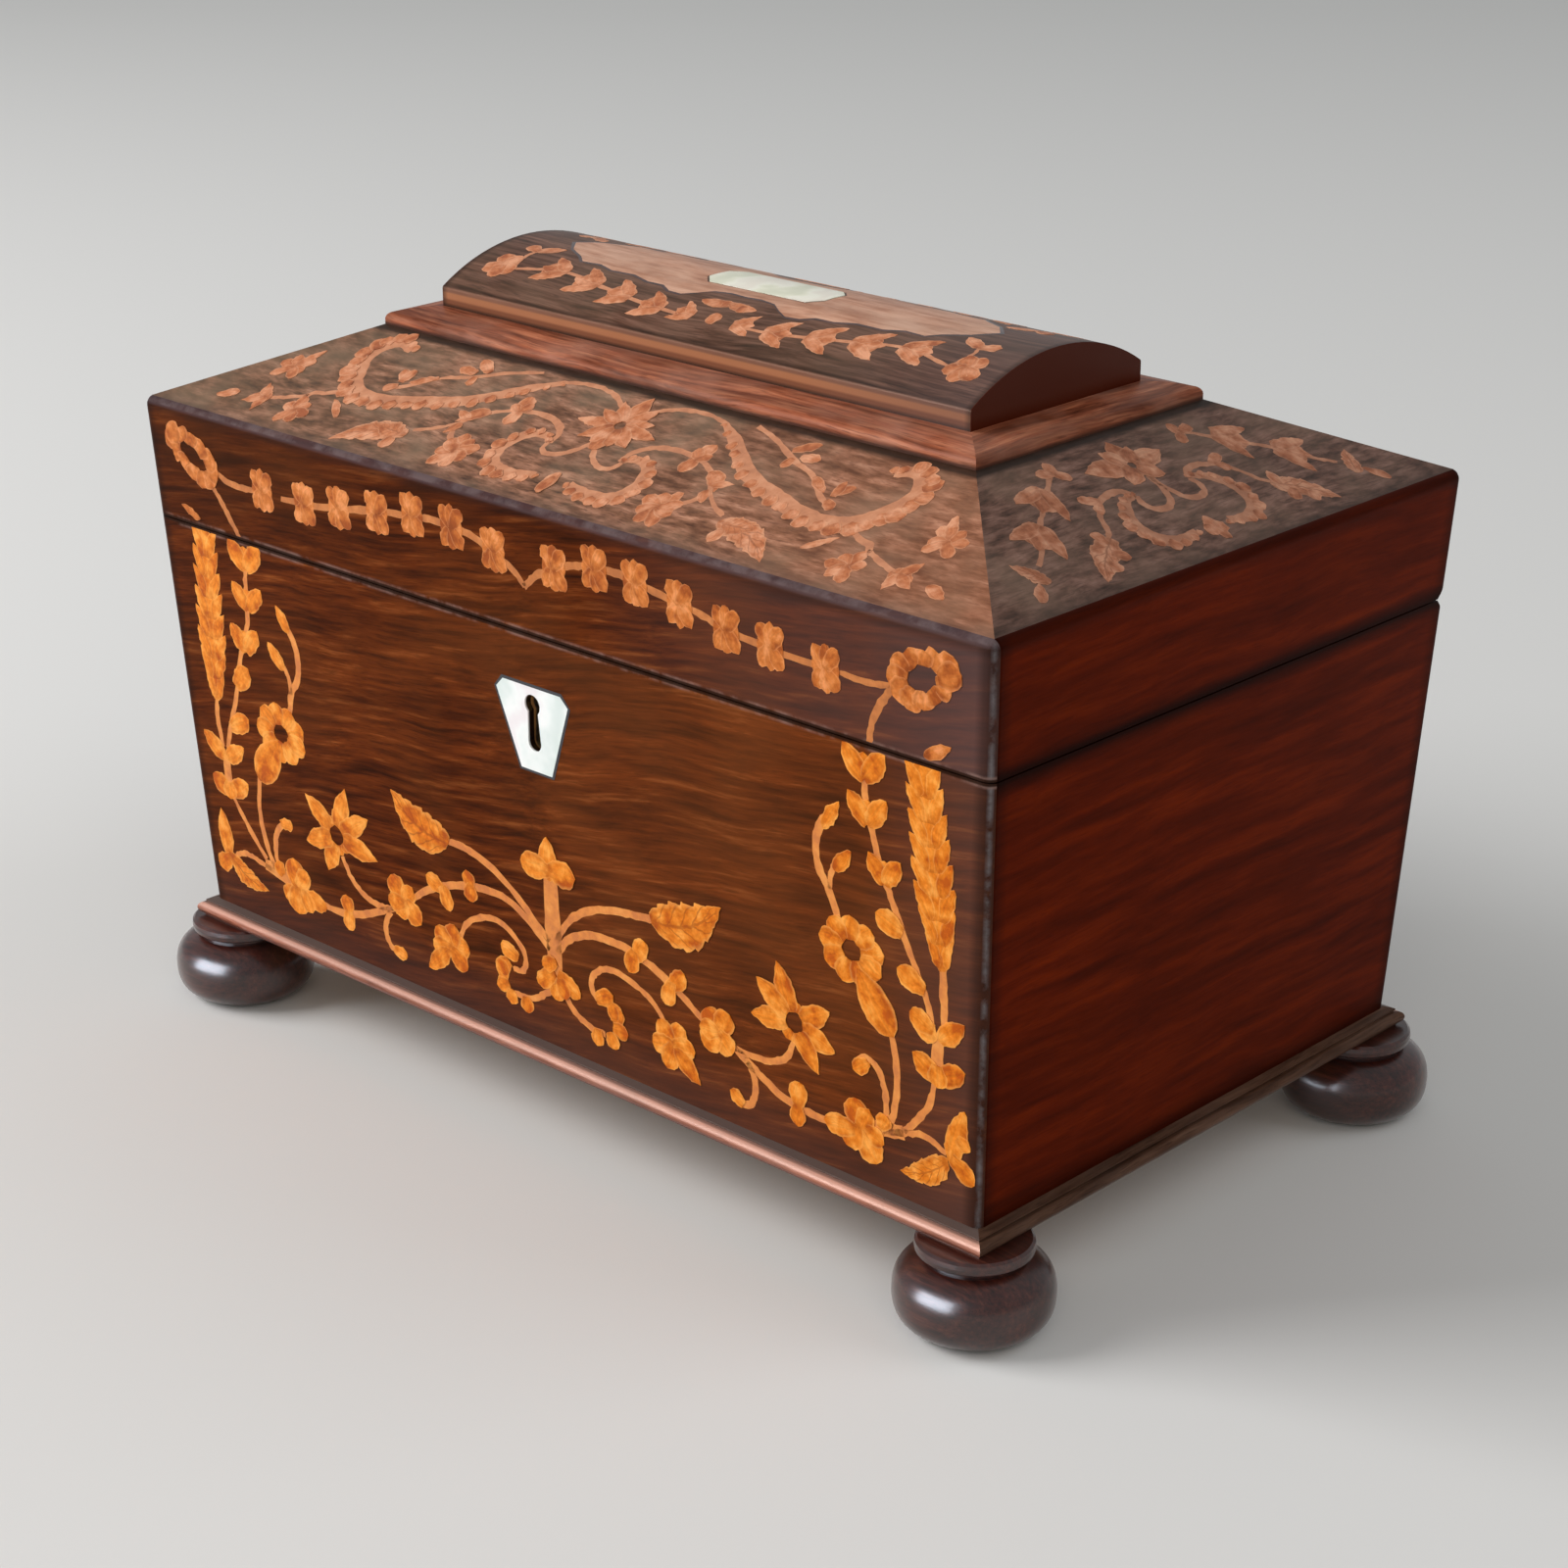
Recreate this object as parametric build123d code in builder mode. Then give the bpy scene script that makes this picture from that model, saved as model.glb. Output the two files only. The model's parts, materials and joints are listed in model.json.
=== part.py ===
"""Tea caddy of sarcophagus form: a tapered veneered box on bun feet, with a hinged lid that rises in four
slopes to a moulded plinth and an arched cushion top. Inside are two foil-lined compartments, each under a
loose panel with a turned knob, and a box lock whose bolt hooks the two lugs of a link plate in the lid.

Frame: origin on the table under the middle of the box, +X to the right, +Y to the back, +Z up. Millimetres.
"""

import os
from math import atan2, cos, degrees, radians, sin, tan

from build123d import *

# ---- overall form ----
box_width = 230.0  # across the outer edge of the lid, where the box is widest
box_depth = 139.0  # front to back at the same edge
cant_angle = 2.9  # lean of every wall, outwards as it rises
foot_height = 17.8
bottom_thickness = 4.1
body_height = 87.4  # top of the bottom board to the joint between box and lid
lid_rim_height = 25.0  # joint to the outer edge of the lid
slope_rise = 15.0
plinth_width = 159.1
plinth_depth = 66.2
plinth_height = 3.7
plinth_lip = 1.0  # upright lower edge of the plinth
plinth_nose = 1.6
plinth_nose_turn = 72
plinth_run = 8.5  # lip of the plinth to the foot of the arched top
dome_band = 4.0  # upright band under the arch
dome_rise = 7.2

# ---- boards and veneers ----
veneer = 1.5
wall_board = 8.5
slope_board = 4.6
lining_board = 3.0
divider_thickness = 6.0
corner_wear = 2.0  # rounding of the upright corners and of the outer edge of the lid
dome_edge_wear = 0.7  # rounding of the arched top's long edges
joint_gap = 0.3  # between the top of the box and the rim of the lid
glue_gap = 0.05  # clearance round a piece that is let into another

# ---- base moulding and feet ----
moulding_nose = 3.0  # nose, out from the bottom edge of the walls
moulding_setback = 1.2  # back of the strip, in from the same edge
moulding_fillet = 0.4  # flat below the nose
moulding_shoulder = 1.8  # how far the flat and the ends of the nose stand out
nose_height = 2.5
quirk_height = 0.3
quirk_depth = 0.5
foot_radius = 15.0
foot_inset = 7.0  # foot centre, in from the corner of the nose
foot_sole_radius = 8.6
foot_shoulder_radius = 10.0
foot_collar_radius = 10.4
foot_collar_height = 2.6
foot_neck_radius = 9.3
foot_neck_height = 1.0
spigot_radius = 2.4
spigot_length = 3.2

# ---- compartments ----
foil = 0.5
foil_top_gap = 1.0  # top of the foil below the ledge
panel_thickness = 5.0
panel_recess = 1.4  # top of the loose panels below the rim
panel_clearance = 0.5
panel_edge = 1.2  # rounding of the panels' upper edges
divider_rebate = 2.0
knob_radius = 4.4
knob_height = 9.6
knob_foot_radius = 3.8
knob_foot_height = 1.2
knob_neck_radius = 1.9
knob_neck_height = 3.0  # to the narrowest place
knob_head_foot = 5.4
knob_head_foot_radius = 3.1
knob_shoulder = 8.6
peg_radius = 1.5
peg_length = 3.6

# ---- lid lining ----
pad_thickness = 4.4
pad_clearance = 0.3
pad_edge = 1.6

# ---- hinges ----
hinge_length = 26.0
hinge_spread = 124.0  # between the middles of the two hinges
hinge_inset = 2.7  # pin, in from the back face at the joint
lid_opening = 95.0  # where the bevelled back edges of box and lid meet
stop_slack = 1.0  # degrees by which the bevels together exceed the opening
leaf_width = 5.6
leaf_thickness = 1.1
knuckle_count = 5
knuckle_radius = 2.1
knuckle_clearance = 0.25
knuckle_gap = 0.2
hinge_pin_radius = 0.8
running_gap = 0.05
hinge_screw_spread = 15.0
hinge_screw_setback = 3.8  # screw centre, in from the pin
hinge_screw_radius = 0.9
hinge_screw_head = 1.7
hinge_screw_length = 6.5

# ---- lock; drops are measured down from the top of the box ----
lock_ear = 3.2  # back plate, beyond the case at each end
lock_plate_height = 27.0
lock_plate_thickness = 1.2
lock_inset = 0.8  # back plate, in from the inner face of the front board at the rim
selvedge_depth = 7.0
case_end = 7.8  # case, beyond the middle of each lug
case_height = 25.0
case_depth = 5.0
case_wall = 0.8
keyhole_drop = 14.3  # to the centre of the round of the keyhole
keyhole_radius = 2.1
keyhole_slot_top = 2.6
keyhole_slot_bottom = 3.6
keyhole_length = 11.6
drill_pin_radius = 0.9
key_reach = 7.6  # the bit of the key, from the drill pin
lug_spacing = 24.0
lug_thickness = 2.0
lug_width = 3.0
lug_drop = 7.6
lug_eye_width = 1.8
lug_eye_height = 3.0
lug_floor = 1.1  # metal below the eye
lug_clearance = 0.5
bolt_thickness = 1.2
bolt_play = 0.3
bolt_throw = 3.4
bolt_bar_drop = 8.4  # top of the bolt's bar
bolt_bar_height = 3.4
bolt_bridge_drop = 3.3  # top of the bridge over the key
bolt_post = 1.6
bolt_tooth = 1.6
talon_width = 4.8
talon_depth = 1.8
tip_gap = 0.6  # finger tip to lug with the bolt drawn back
side_gap = 0.4  # post to lug with the bolt thrown
stump_radius = 0.7
stump_collar_radius = 1.3
stump_gap = 0.1
spring_thickness = 0.5
spring_width = 2.4
spring_drop = 20.0  # lower end of the spring
spring_bend = 4.6
spring_tail = 2.0
link_plate_end = 9.0  # link plate, beyond the middle of each lug
link_plate_depth = 6.2
link_plate_thickness = 1.2
lock_screw_radius = 0.8
lock_screw_head = 1.3
lock_screw_length = 4.4
link_screw_length = 7.0

# ---- mother-of-pearl ----
escutcheon_top = 20.0
escutcheon_bottom = 8.6
escutcheon_height = 17.5
escutcheon_above_pin = 3.7  # top edge, above the centre of the round of the keyhole
escutcheon_corner = 2.0
plaque_length = 31.0
plaque_depth = 11.0
plaque_corner = 2.6
pearl_proud = 0.1

# ---- levels and places that follow ----
floor_z = foot_height + bottom_thickness
joint_z = floor_z + body_height
rim_z = joint_z - joint_gap / 2
lid_low_z = joint_z + joint_gap / 2
edge_z = joint_z + lid_rim_height
plinth_z = edge_z + slope_rise
dome_z = plinth_z + plinth_height
spring_line_z = dome_z + dome_band
dome_width = plinth_width - 2 * plinth_run
dome_depth = plinth_depth - 2 * plinth_run
cant = tan(radians(cant_angle))
wall = veneer + wall_board
ledge_z = rim_z - panel_recess - panel_thickness
panel_top_z = rim_z - panel_recess
lining_back = wall + lining_board

hinge_y = box_depth / 2 - cant * lid_rim_height - hinge_inset
bevel_angle = (lid_opening + stop_slack) / 2
knuckle_length = hinge_length / knuckle_count
hinge_places = (-hinge_spread / 2, hinge_spread / 2)

plate_y = -(box_depth / 2 - cant * (edge_z - rim_z) - wall) - lock_inset  # inner face of the lock plate
cavity_y = plate_y - lock_plate_thickness
case_y = cavity_y - case_depth  # outer face of the lock case
cavity_depth = case_depth - case_wall
bolt_y = cavity_y - cavity_depth / 2
pin_z = rim_z - keyhole_drop
selvedge_z = rim_z - lock_plate_thickness
lug_places = (-lug_spacing / 2, lug_spacing / 2)
case_width = lug_spacing + 2 * case_end
lock_width = case_width + 2 * lock_ear
link_plate_width = lug_spacing + 2 * link_plate_end
eye_low_z = lid_low_z - lug_drop + lug_floor
eye_middle_z = eye_low_z + lug_eye_height / 2

SIDES = {"front": (0, -1), "back": (0, 1), "left": (-1, 0), "right": (1, 0)}


def half_size(side):
    """Distance from the middle to the outer edge of the lid on that side."""
    return box_width / 2 if side in ("left", "right") else box_depth / 2


def half_at(side, z, setback=0.0):
    """Distance from the middle to a leaning wall's face at height z, less a setback."""
    return half_size(side) - cant * (edge_z - z) - setback


def wall_plane(side, setback=0.0):
    """Plane of a leaning wall face, its normal pointing out of the box and its y axis up the wall."""
    out_x, out_y = SIDES[side]
    reach = half_size(side) - setback
    lean = radians(cant_angle)
    return Plane(
        origin=(out_x * reach, out_y * reach, edge_z),
        x_dir=(-out_y, out_x, 0),
        z_dir=(out_x * cos(lean), out_y * cos(lean), -sin(lean)),
    )


def slope_pitch(side):
    """Pitch of a slope of the lid, in radians."""
    plinth_half = plinth_width / 2 if side in ("left", "right") else plinth_depth / 2
    return atan2(slope_rise, half_size(side) - plinth_half)


def slope_plane(side, depth=0.0):
    """Plane of a slope of the lid, or one a depth below it, its normal pointing out of the lid."""
    out_x, out_y = SIDES[side]
    pitch = slope_pitch(side)
    normal = Vector(out_x * sin(pitch), out_y * sin(pitch), cos(pitch))
    edge = Vector(out_x * half_size(side), out_y * half_size(side), edge_z)
    return Plane(origin=edge - normal * depth, x_dir=(-out_y, out_x, 0), z_dir=normal)


def hip_plane(sign_x, sign_y, side):
    """Upright plane through a hip of the lid, its normal pointing away from that side's slope."""
    run_x = (box_width - plinth_width) / 2
    run_y = (box_depth - plinth_depth) / 2
    turn = -1 if side in ("left", "right") else 1
    normal = Vector(sign_x * run_y, -sign_y * run_x, 0) * turn
    return Plane(origin=(sign_x * box_width / 2, sign_y * box_depth / 2, edge_z), z_dir=normal)


def bevel_plane(half):
    """Back bevel of the box (half = -1) or of the lid (half = 1), just off the hinge pin."""
    angle = radians(bevel_angle)
    normal = Vector(0, sin(angle), -half * cos(angle))
    pin = Vector(0, hinge_y, joint_z)
    return Plane(origin=pin - normal * (joint_gap / 2), x_dir=(1, 0, 0), z_dir=normal)


def trim(*planes):
    """Keeps what lies behind each plane, inside a BuildPart block."""
    for plane in planes:
        split(bisect_by=plane, keep=Keep.BOTTOM)


def leaning_block(low, high, setback):
    """Solid block inside the four leaning walls, at a setback from their faces."""
    with BuildPart() as block:
        with BuildSketch(Plane.XY.offset(low)):
            Rectangle(2 * box_width, 2 * box_depth)
        extrude(amount=high - low)
        trim(*(wall_plane(side, setback) for side in SIDES))
    return block.part


with BuildPart() as worn_form:
    add(leaning_block(floor_z - veneer, plinth_z + veneer, 0))
    trim(*(slope_plane(side) for side in SIDES))
    corners = worn_form.edges().filter_by(lambda edge: abs(edge.tangent_at(0.5).Z) > 0.9)
    lid_edge = worn_form.edges().filter_by(lambda edge: abs(edge.center().Z - edge_z) < 0.01)
    fillet(corners + lid_edge, corner_wear)


def worn_block(low, high):
    """The outer form of box and lid between two levels, with its corners worn round."""
    with BuildPart() as block:
        add(worn_form.part)
        trim(Plane(origin=(0, 0, high), z_dir=(0, 0, 1)), Plane(origin=(0, 0, low), z_dir=(0, 0, -1)))
    return block.part


def wall_piece(side, outer, inner, low, high):
    """One board of a leaning wall, between two setbacks and two levels. Front and back boards run the full
    width, and side boards fit between them. A piece with no setback outside has worn corners."""
    blank = leaning_block(low, high, outer) if outer else worn_block(low, high)
    with BuildPart() as piece:
        add(blank)
        split(bisect_by=wall_plane(side, inner), keep=Keep.TOP)
        if side in ("left", "right"):
            trim(wall_plane("front", inner), wall_plane("back", inner))
    return piece.part


def export(name, part):
    part.label = name
    export_step(part, f"parts/{name}.step")


def keyhole_outline():
    """Keyhole about the sketch's origin: a round above a slot that widens downwards."""
    foot_y = keyhole_radius - keyhole_length + keyhole_slot_bottom / 2
    Circle(keyhole_radius)
    Polygon(
        (-keyhole_slot_top / 2, 0),
        (-keyhole_slot_bottom / 2, foot_y),
        (keyhole_slot_bottom / 2, foot_y),
        (keyhole_slot_top / 2, 0),
        align=None,
    )
    with Locations((0, foot_y)):
        Circle(keyhole_slot_bottom / 2)


os.makedirs("parts", exist_ok=True)
keyhole_plane = Plane(origin=(0, cavity_y, pin_z), x_dir=(1, 0, 0), z_dir=(0, -1, 0))


# ---- feet: squashed balls under a collar, each with a spigot into the bottom board ----
foot_x = half_at("right", floor_z) + moulding_nose - foot_inset
foot_y = half_at("back", floor_z) + moulding_nose - foot_inset
foot_places = {
    "front_left_foot": (-foot_x, -foot_y),
    "front_right_foot": (foot_x, -foot_y),
    "back_left_foot": (-foot_x, foot_y),
    "back_right_foot": (foot_x, foot_y),
}
collar_z = foot_height - foot_collar_height
ball_top_z = collar_z - foot_neck_height
with BuildPart() as foot:
    with BuildSketch(Plane.XZ):
        with BuildLine():
            sole = Line((0, 0), (foot_sole_radius, 0))
            ball = Spline(
                sole @ 1,
                (foot_radius, ball_top_z / 2),
                (foot_shoulder_radius, ball_top_z),
                tangents=((6, 1), (-3, 1)),
            )
            neck = Polyline(
                ball @ 1,
                (foot_neck_radius, ball_top_z),
                (foot_neck_radius, collar_z),
                (foot_collar_radius, collar_z),
            )
            collar = Polyline(
                neck @ 1,
                (foot_collar_radius + foot_collar_height / 5, collar_z + foot_collar_height / 6),
                (foot_collar_radius + foot_collar_height / 4, collar_z + foot_collar_height / 2),
                (foot_collar_radius + foot_collar_height / 5, foot_height - foot_collar_height / 6),
                (foot_collar_radius, foot_height),
            )
            Polyline(
                collar @ 1,
                (spigot_radius, foot_height),
                (spigot_radius, foot_height + spigot_length),
                (0, foot_height + spigot_length),
                (0, 0),
            )
        make_face()
    revolve(axis=Axis.Z)
for foot_name, place in foot_places.items():
    export(foot_name, Pos(*place) * foot.part)


# ---- bottom board, inside the base moulding ----
with BuildPart() as bottom_board:
    with BuildSketch(Plane.XY.offset(foot_height)):
        Rectangle(
            2 * half_at("right", floor_z, moulding_setback),
            2 * half_at("back", floor_z, moulding_setback),
        )
    extrude(amount=bottom_thickness)
    with BuildSketch(Plane.XY.offset(foot_height)):
        with Locations(*foot_places.values()):
            Circle(spigot_radius + glue_gap)
    extrude(amount=spigot_length + glue_gap, mode=Mode.SUBTRACT)
export("bottom_board", bottom_board.part)


# ---- base moulding: a nose between a fillet and a quirked bead, mitred at the corners ----
def moulding_strip(side):
    """The strip along one side, its profile drawn outwards from the bottom edge of the wall."""
    out_x, out_y = SIDES[side]
    reach = half_at(side, floor_z)
    profile_plane = Plane(
        origin=(out_x * reach, out_y * reach, foot_height), x_dir=(out_x, out_y, 0), z_dir=(out_y, -out_x, 0)
    )
    nose_top = moulding_fillet + nose_height
    quirk_top = nose_top + quirk_height
    bead_reach = moulding_shoulder - quirk_depth / 2
    with BuildPart() as strip:
        with BuildSketch(profile_plane):
            with BuildLine():
                foot_line = Polyline(
                    (-moulding_setback, bottom_thickness),
                    (-moulding_setback, 0),
                    (moulding_shoulder, 0),
                    (moulding_shoulder, moulding_fillet),
                )
                nose = ThreePointArc(
                    foot_line @ 1,
                    (moulding_nose, moulding_fillet + nose_height / 2),
                    (moulding_shoulder, nose_top),
                )
                quirk = Polyline(
                    nose @ 1,
                    (moulding_shoulder - quirk_depth, nose_top),
                    (moulding_shoulder - quirk_depth, quirk_top),
                    (bead_reach, quirk_top),
                )
                bead = Polyline(
                    quirk @ 1, (bead_reach, quirk_top + quirk_height), (0, bottom_thickness), foot_line @ 0
                )
            make_face()
        extrude(amount=box_width, both=True)
        for sign in (-1, 1):
            along = Vector(-out_y * sign, out_x * sign, 0)
            corner = Vector(
                (out_x + along.X) * half_at("right", floor_z), (out_y + along.Y) * half_at("back", floor_z), 0
            )
            trim(Plane(origin=corner, z_dir=along - Vector(out_x, out_y, 0)))
    return strip.part


for side in SIDES:
    export(f"base_moulding_{side}", moulding_strip(side))


# ---- lock sizes that the front board shares ----
screw_x = (lock_width + case_width) / 4
screw_drops = (4.0, lock_plate_height - 3.0)
lock_screw_places = [(x, rim_z - drop) for x in (-screw_x, screw_x) for drop in screw_drops]
link_screw_x = (lug_spacing + lug_thickness + link_plate_width) / 4


def countersunk(head, shank, length):
    """Screw pointing down from the origin, with a countersunk head."""
    with BuildPart() as screw:
        with BuildSketch(Plane.XZ):
            with BuildLine():
                Polyline(
                    (0, 0), (head, 0), (shank, shank - head), (shank, -length + shank), (0, -length), (0, 0)
                )
            make_face()
        revolve(axis=Axis.Z)
    return screw.part


# ---- walls of the box: boards, veneers and inner linings ----
front_blank = wall_piece("front", veneer, wall, floor_z, rim_z)
with BuildPart() as front_board:
    add(front_blank)
    with BuildSketch(Plane.XZ.offset(-cavity_y)):
        with Locations((0, rim_z)):
            Rectangle(
                lock_width + 2 * glue_gap, lock_plate_height + glue_gap, align=(Align.CENTER, Align.MAX)
            )
    extrude(amount=-box_depth / 4, mode=Mode.SUBTRACT)
    with BuildSketch(Plane.XZ.offset(-cavity_y)):
        with Locations((0, selvedge_z)):
            Rectangle(case_width + 2 * glue_gap, case_height + glue_gap, align=(Align.CENTER, Align.MAX))
    extrude(amount=case_depth + glue_gap, mode=Mode.SUBTRACT)
    with BuildSketch(Plane.XY.offset(rim_z)):
        with Locations((0, plate_y)):
            Rectangle(lock_width + 2 * glue_gap, selvedge_depth + glue_gap, align=(Align.CENTER, Align.MAX))
    extrude(amount=-lock_plate_thickness, mode=Mode.SUBTRACT)
    with BuildSketch(Plane.XZ.offset(-cavity_y)):
        with Locations(*lock_screw_places):
            Circle(lock_screw_radius + glue_gap)
    extrude(amount=lock_screw_length - lock_plate_thickness + glue_gap, mode=Mode.SUBTRACT)
    with BuildSketch(keyhole_plane):
        keyhole_outline()
    extrude(amount=wall, mode=Mode.SUBTRACT)
export("front_board", front_board.part)

escutcheon_plane = wall_plane("front")
escutcheon_rise = (pin_z + escutcheon_above_pin - edge_z) / cos(radians(cant_angle))


def escutcheon_outline():
    """Keystone with clipped upper corners, in the plane of the front."""
    top, foot = escutcheon_rise, escutcheon_rise - escutcheon_height
    half_top, half_foot = escutcheon_top / 2, escutcheon_bottom / 2
    Polygon(
        (-half_foot, foot),
        (half_foot, foot),
        (half_top, top - escutcheon_corner),
        (half_top - escutcheon_corner, top),
        (escutcheon_corner - half_top, top),
        (-half_top, top - escutcheon_corner),
        align=None,
    )


front_veneer_blank = wall_piece("front", 0, veneer, floor_z, rim_z)
with BuildPart() as front_veneer:
    add(front_veneer_blank)
    with BuildSketch(escutcheon_plane):
        escutcheon_outline()
    extrude(amount=-2 * veneer, mode=Mode.SUBTRACT)
export("front_veneer", front_veneer.part)

with BuildPart() as escutcheon:
    with BuildSketch(escutcheon_plane.offset(pearl_proud)):
        escutcheon_outline()
        offset(amount=-glue_gap, mode=Mode.REPLACE)
    extrude(amount=-(veneer * cos(radians(cant_angle)) + pearl_proud))
    with BuildSketch(keyhole_plane):
        keyhole_outline()
    extrude(amount=2 * wall, mode=Mode.SUBTRACT)
export("escutcheon", escutcheon.part)


# ---- hinges: two butt hinges let into the bevelled back edges ----
hinge_screw_places = [
    (x + offset_x, hinge_y - hinge_screw_setback)
    for x in hinge_places
    for offset_x in (-hinge_screw_spread / 2, hinge_screw_spread / 2)
]
lower_knuckles = range(0, knuckle_count, 2)
upper_knuckles = range(1, knuckle_count, 2)


def barrel_cut(start, length):
    """Takes the clearance of a knuckle, about the pin, out of the current part."""
    with Locations(Location((start, hinge_y, joint_z), (0, 90, 0))):
        Cylinder(
            knuckle_radius + knuckle_clearance,
            length,
            align=(Align.CENTER, Align.CENTER, Align.MIN),
            mode=Mode.SUBTRACT,
        )


def let_in_hinges(blank, half):
    """Back board or veneer cut back for the hinges: half = -1 in the box, 1 in the lid."""
    face = Plane.XY.offset(joint_z + half * joint_gap / 2)
    with BuildPart() as board:
        add(blank)
        trim(bevel_plane(half))
        with BuildSketch(face):
            with Locations(*((x, hinge_y) for x in hinge_places)):
                Rectangle(hinge_length + 2 * glue_gap, leaf_width + glue_gap, align=(Align.CENTER, Align.MAX))
        extrude(amount=half * leaf_thickness, mode=Mode.SUBTRACT)
        with BuildSketch(face):
            with Locations(*hinge_screw_places):
                Circle(hinge_screw_radius + glue_gap)
        extrude(amount=half * (hinge_screw_length + glue_gap), mode=Mode.SUBTRACT)
        for x in hinge_places:
            barrel_cut(x - hinge_length / 2 - knuckle_gap, hinge_length + 2 * knuckle_gap)
    return board.part


def hinge_leaf(x, half):
    """One leaf with its own knuckles, cleared round the knuckles of the other leaf."""
    own, other = (lower_knuckles, upper_knuckles) if half < 0 else (upper_knuckles, lower_knuckles)
    start = x - hinge_length / 2
    with BuildPart() as leaf:
        with BuildSketch(Plane.XY.offset(joint_z + half * joint_gap / 2)):
            with Locations((x, hinge_y)):
                Rectangle(hinge_length, leaf_width, align=(Align.CENTER, Align.MAX))
        extrude(amount=half * leaf_thickness)
        for number in other:
            barrel_cut(start + number * knuckle_length - knuckle_gap / 2, knuckle_length + knuckle_gap)
        for number in own:
            knuckle_start = start + number * knuckle_length + knuckle_gap / 2
            with Locations(Location((knuckle_start, hinge_y, joint_z), (0, 90, 0))):
                Cylinder(
                    knuckle_radius,
                    knuckle_length - knuckle_gap,
                    align=(Align.CENTER, Align.CENTER, Align.MIN),
                )
        with Locations(Location((start, hinge_y, joint_z), (0, 90, 0))):
            Cylinder(
                hinge_pin_radius + running_gap,
                hinge_length,
                align=(Align.CENTER, Align.CENTER, Align.MIN),
                mode=Mode.SUBTRACT,
            )
        turn = 0 if half < 0 else 180
        for offset_x in (-hinge_screw_spread / 2, hinge_screw_spread / 2):
            place = (x + offset_x, hinge_y - hinge_screw_setback, joint_z + half * joint_gap / 2)
            with Locations(Location(place, (turn, 0, 0))):
                add(hinge_screw_space, mode=Mode.SUBTRACT)
    return leaf.part


hinge_screw = countersunk(hinge_screw_head, hinge_screw_radius, hinge_screw_length)
hinge_screw_space = countersunk(
    hinge_screw_head + glue_gap, hinge_screw_radius + glue_gap, hinge_screw_length + glue_gap
)
for half, level in ((-1, "lower"), (1, "upper")):
    for x, hand in zip(hinge_places, ("left", "right")):
        export(f"{hand}_hinge_{level}_leaf", hinge_leaf(x, half))
    turn = 0 if half < 0 else 180
    with BuildPart() as hinge_screws:
        for place in hinge_screw_places:
            with Locations(Location((*place, joint_z + half * joint_gap / 2), (turn, 0, 0))):
                add(hinge_screw)
    export(f"{level}_hinge_screws", hinge_screws.part)

with BuildPart() as hinge_pins:
    for x in hinge_places:
        with Locations(Location((x, hinge_y, joint_z), (0, 90, 0))):
            Cylinder(hinge_pin_radius, hinge_length)
export("hinge_pins", hinge_pins.part)


# ---- the other walls of the box ----
export("back_board", let_in_hinges(wall_piece("back", veneer, wall, floor_z, rim_z), -1))

export("back_veneer", let_in_hinges(wall_piece("back", 0, veneer, floor_z, rim_z), -1))


def side_piece(side, outer, inner, low, high, half):
    """Board or veneer of the left or right side, trimmed by the back bevel."""
    blank = wall_piece(side, outer, inner, low, high)
    with BuildPart() as piece:
        add(blank)
        trim(bevel_plane(half))
        if half > 0 and outer:
            trim(*(slope_plane(other, slope_board) for other in SIDES))
    return piece.part


for side in ("left", "right"):
    export(f"{side}_board", side_piece(side, veneer, wall, floor_z, rim_z, -1))
    export(f"{side}_veneer", side_piece(side, 0, veneer, floor_z, rim_z, -1))
for side in SIDES:
    export(f"{side}_lining", wall_piece(side, wall, lining_back, floor_z, ledge_z))


# ---- divider: a partition between the linings, under a rail rebated for the loose panels ----
rail_half = divider_thickness / 2 - divider_rebate
partition_blank = leaning_block(floor_z, ledge_z, lining_back)
rail_blank = leaning_block(ledge_z, panel_top_z, wall + glue_gap)
with BuildPart() as divider:
    add(partition_blank)
    with BuildSketch(Plane.XY.offset(floor_z)):
        Rectangle(divider_thickness, box_depth)
    extrude(amount=ledge_z - floor_z, mode=Mode.INTERSECT)
with BuildPart() as divider_rail:
    add(rail_blank)
    with BuildSketch(Plane.XY.offset(ledge_z)):
        Rectangle(2 * rail_half, box_depth)
    extrude(amount=panel_top_z - ledge_z, mode=Mode.INTERSECT)
with BuildPart() as whole_divider:
    add(divider.part)
    add(divider_rail.part)
export("divider", whole_divider.part)


# ---- compartments: foil linings, loose panels and turned knobs ----
foil_setback = lining_back + glue_gap
foil_rim_z = ledge_z - foil_top_gap


def compartment_side(sign, blank, clearance, low, high):
    """What of a leaning block lies on one side of the divider, at a clearance from the middle."""
    with BuildPart() as half_block:
        add(blank)
        with BuildSketch(Plane.XY.offset(low)):
            with Locations((sign * clearance, 0)):
                Rectangle(box_width, box_depth, align=(Align.MIN if sign > 0 else Align.MAX, Align.CENTER))
        extrude(amount=high - low, mode=Mode.INTERSECT)
    return half_block.part


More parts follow.
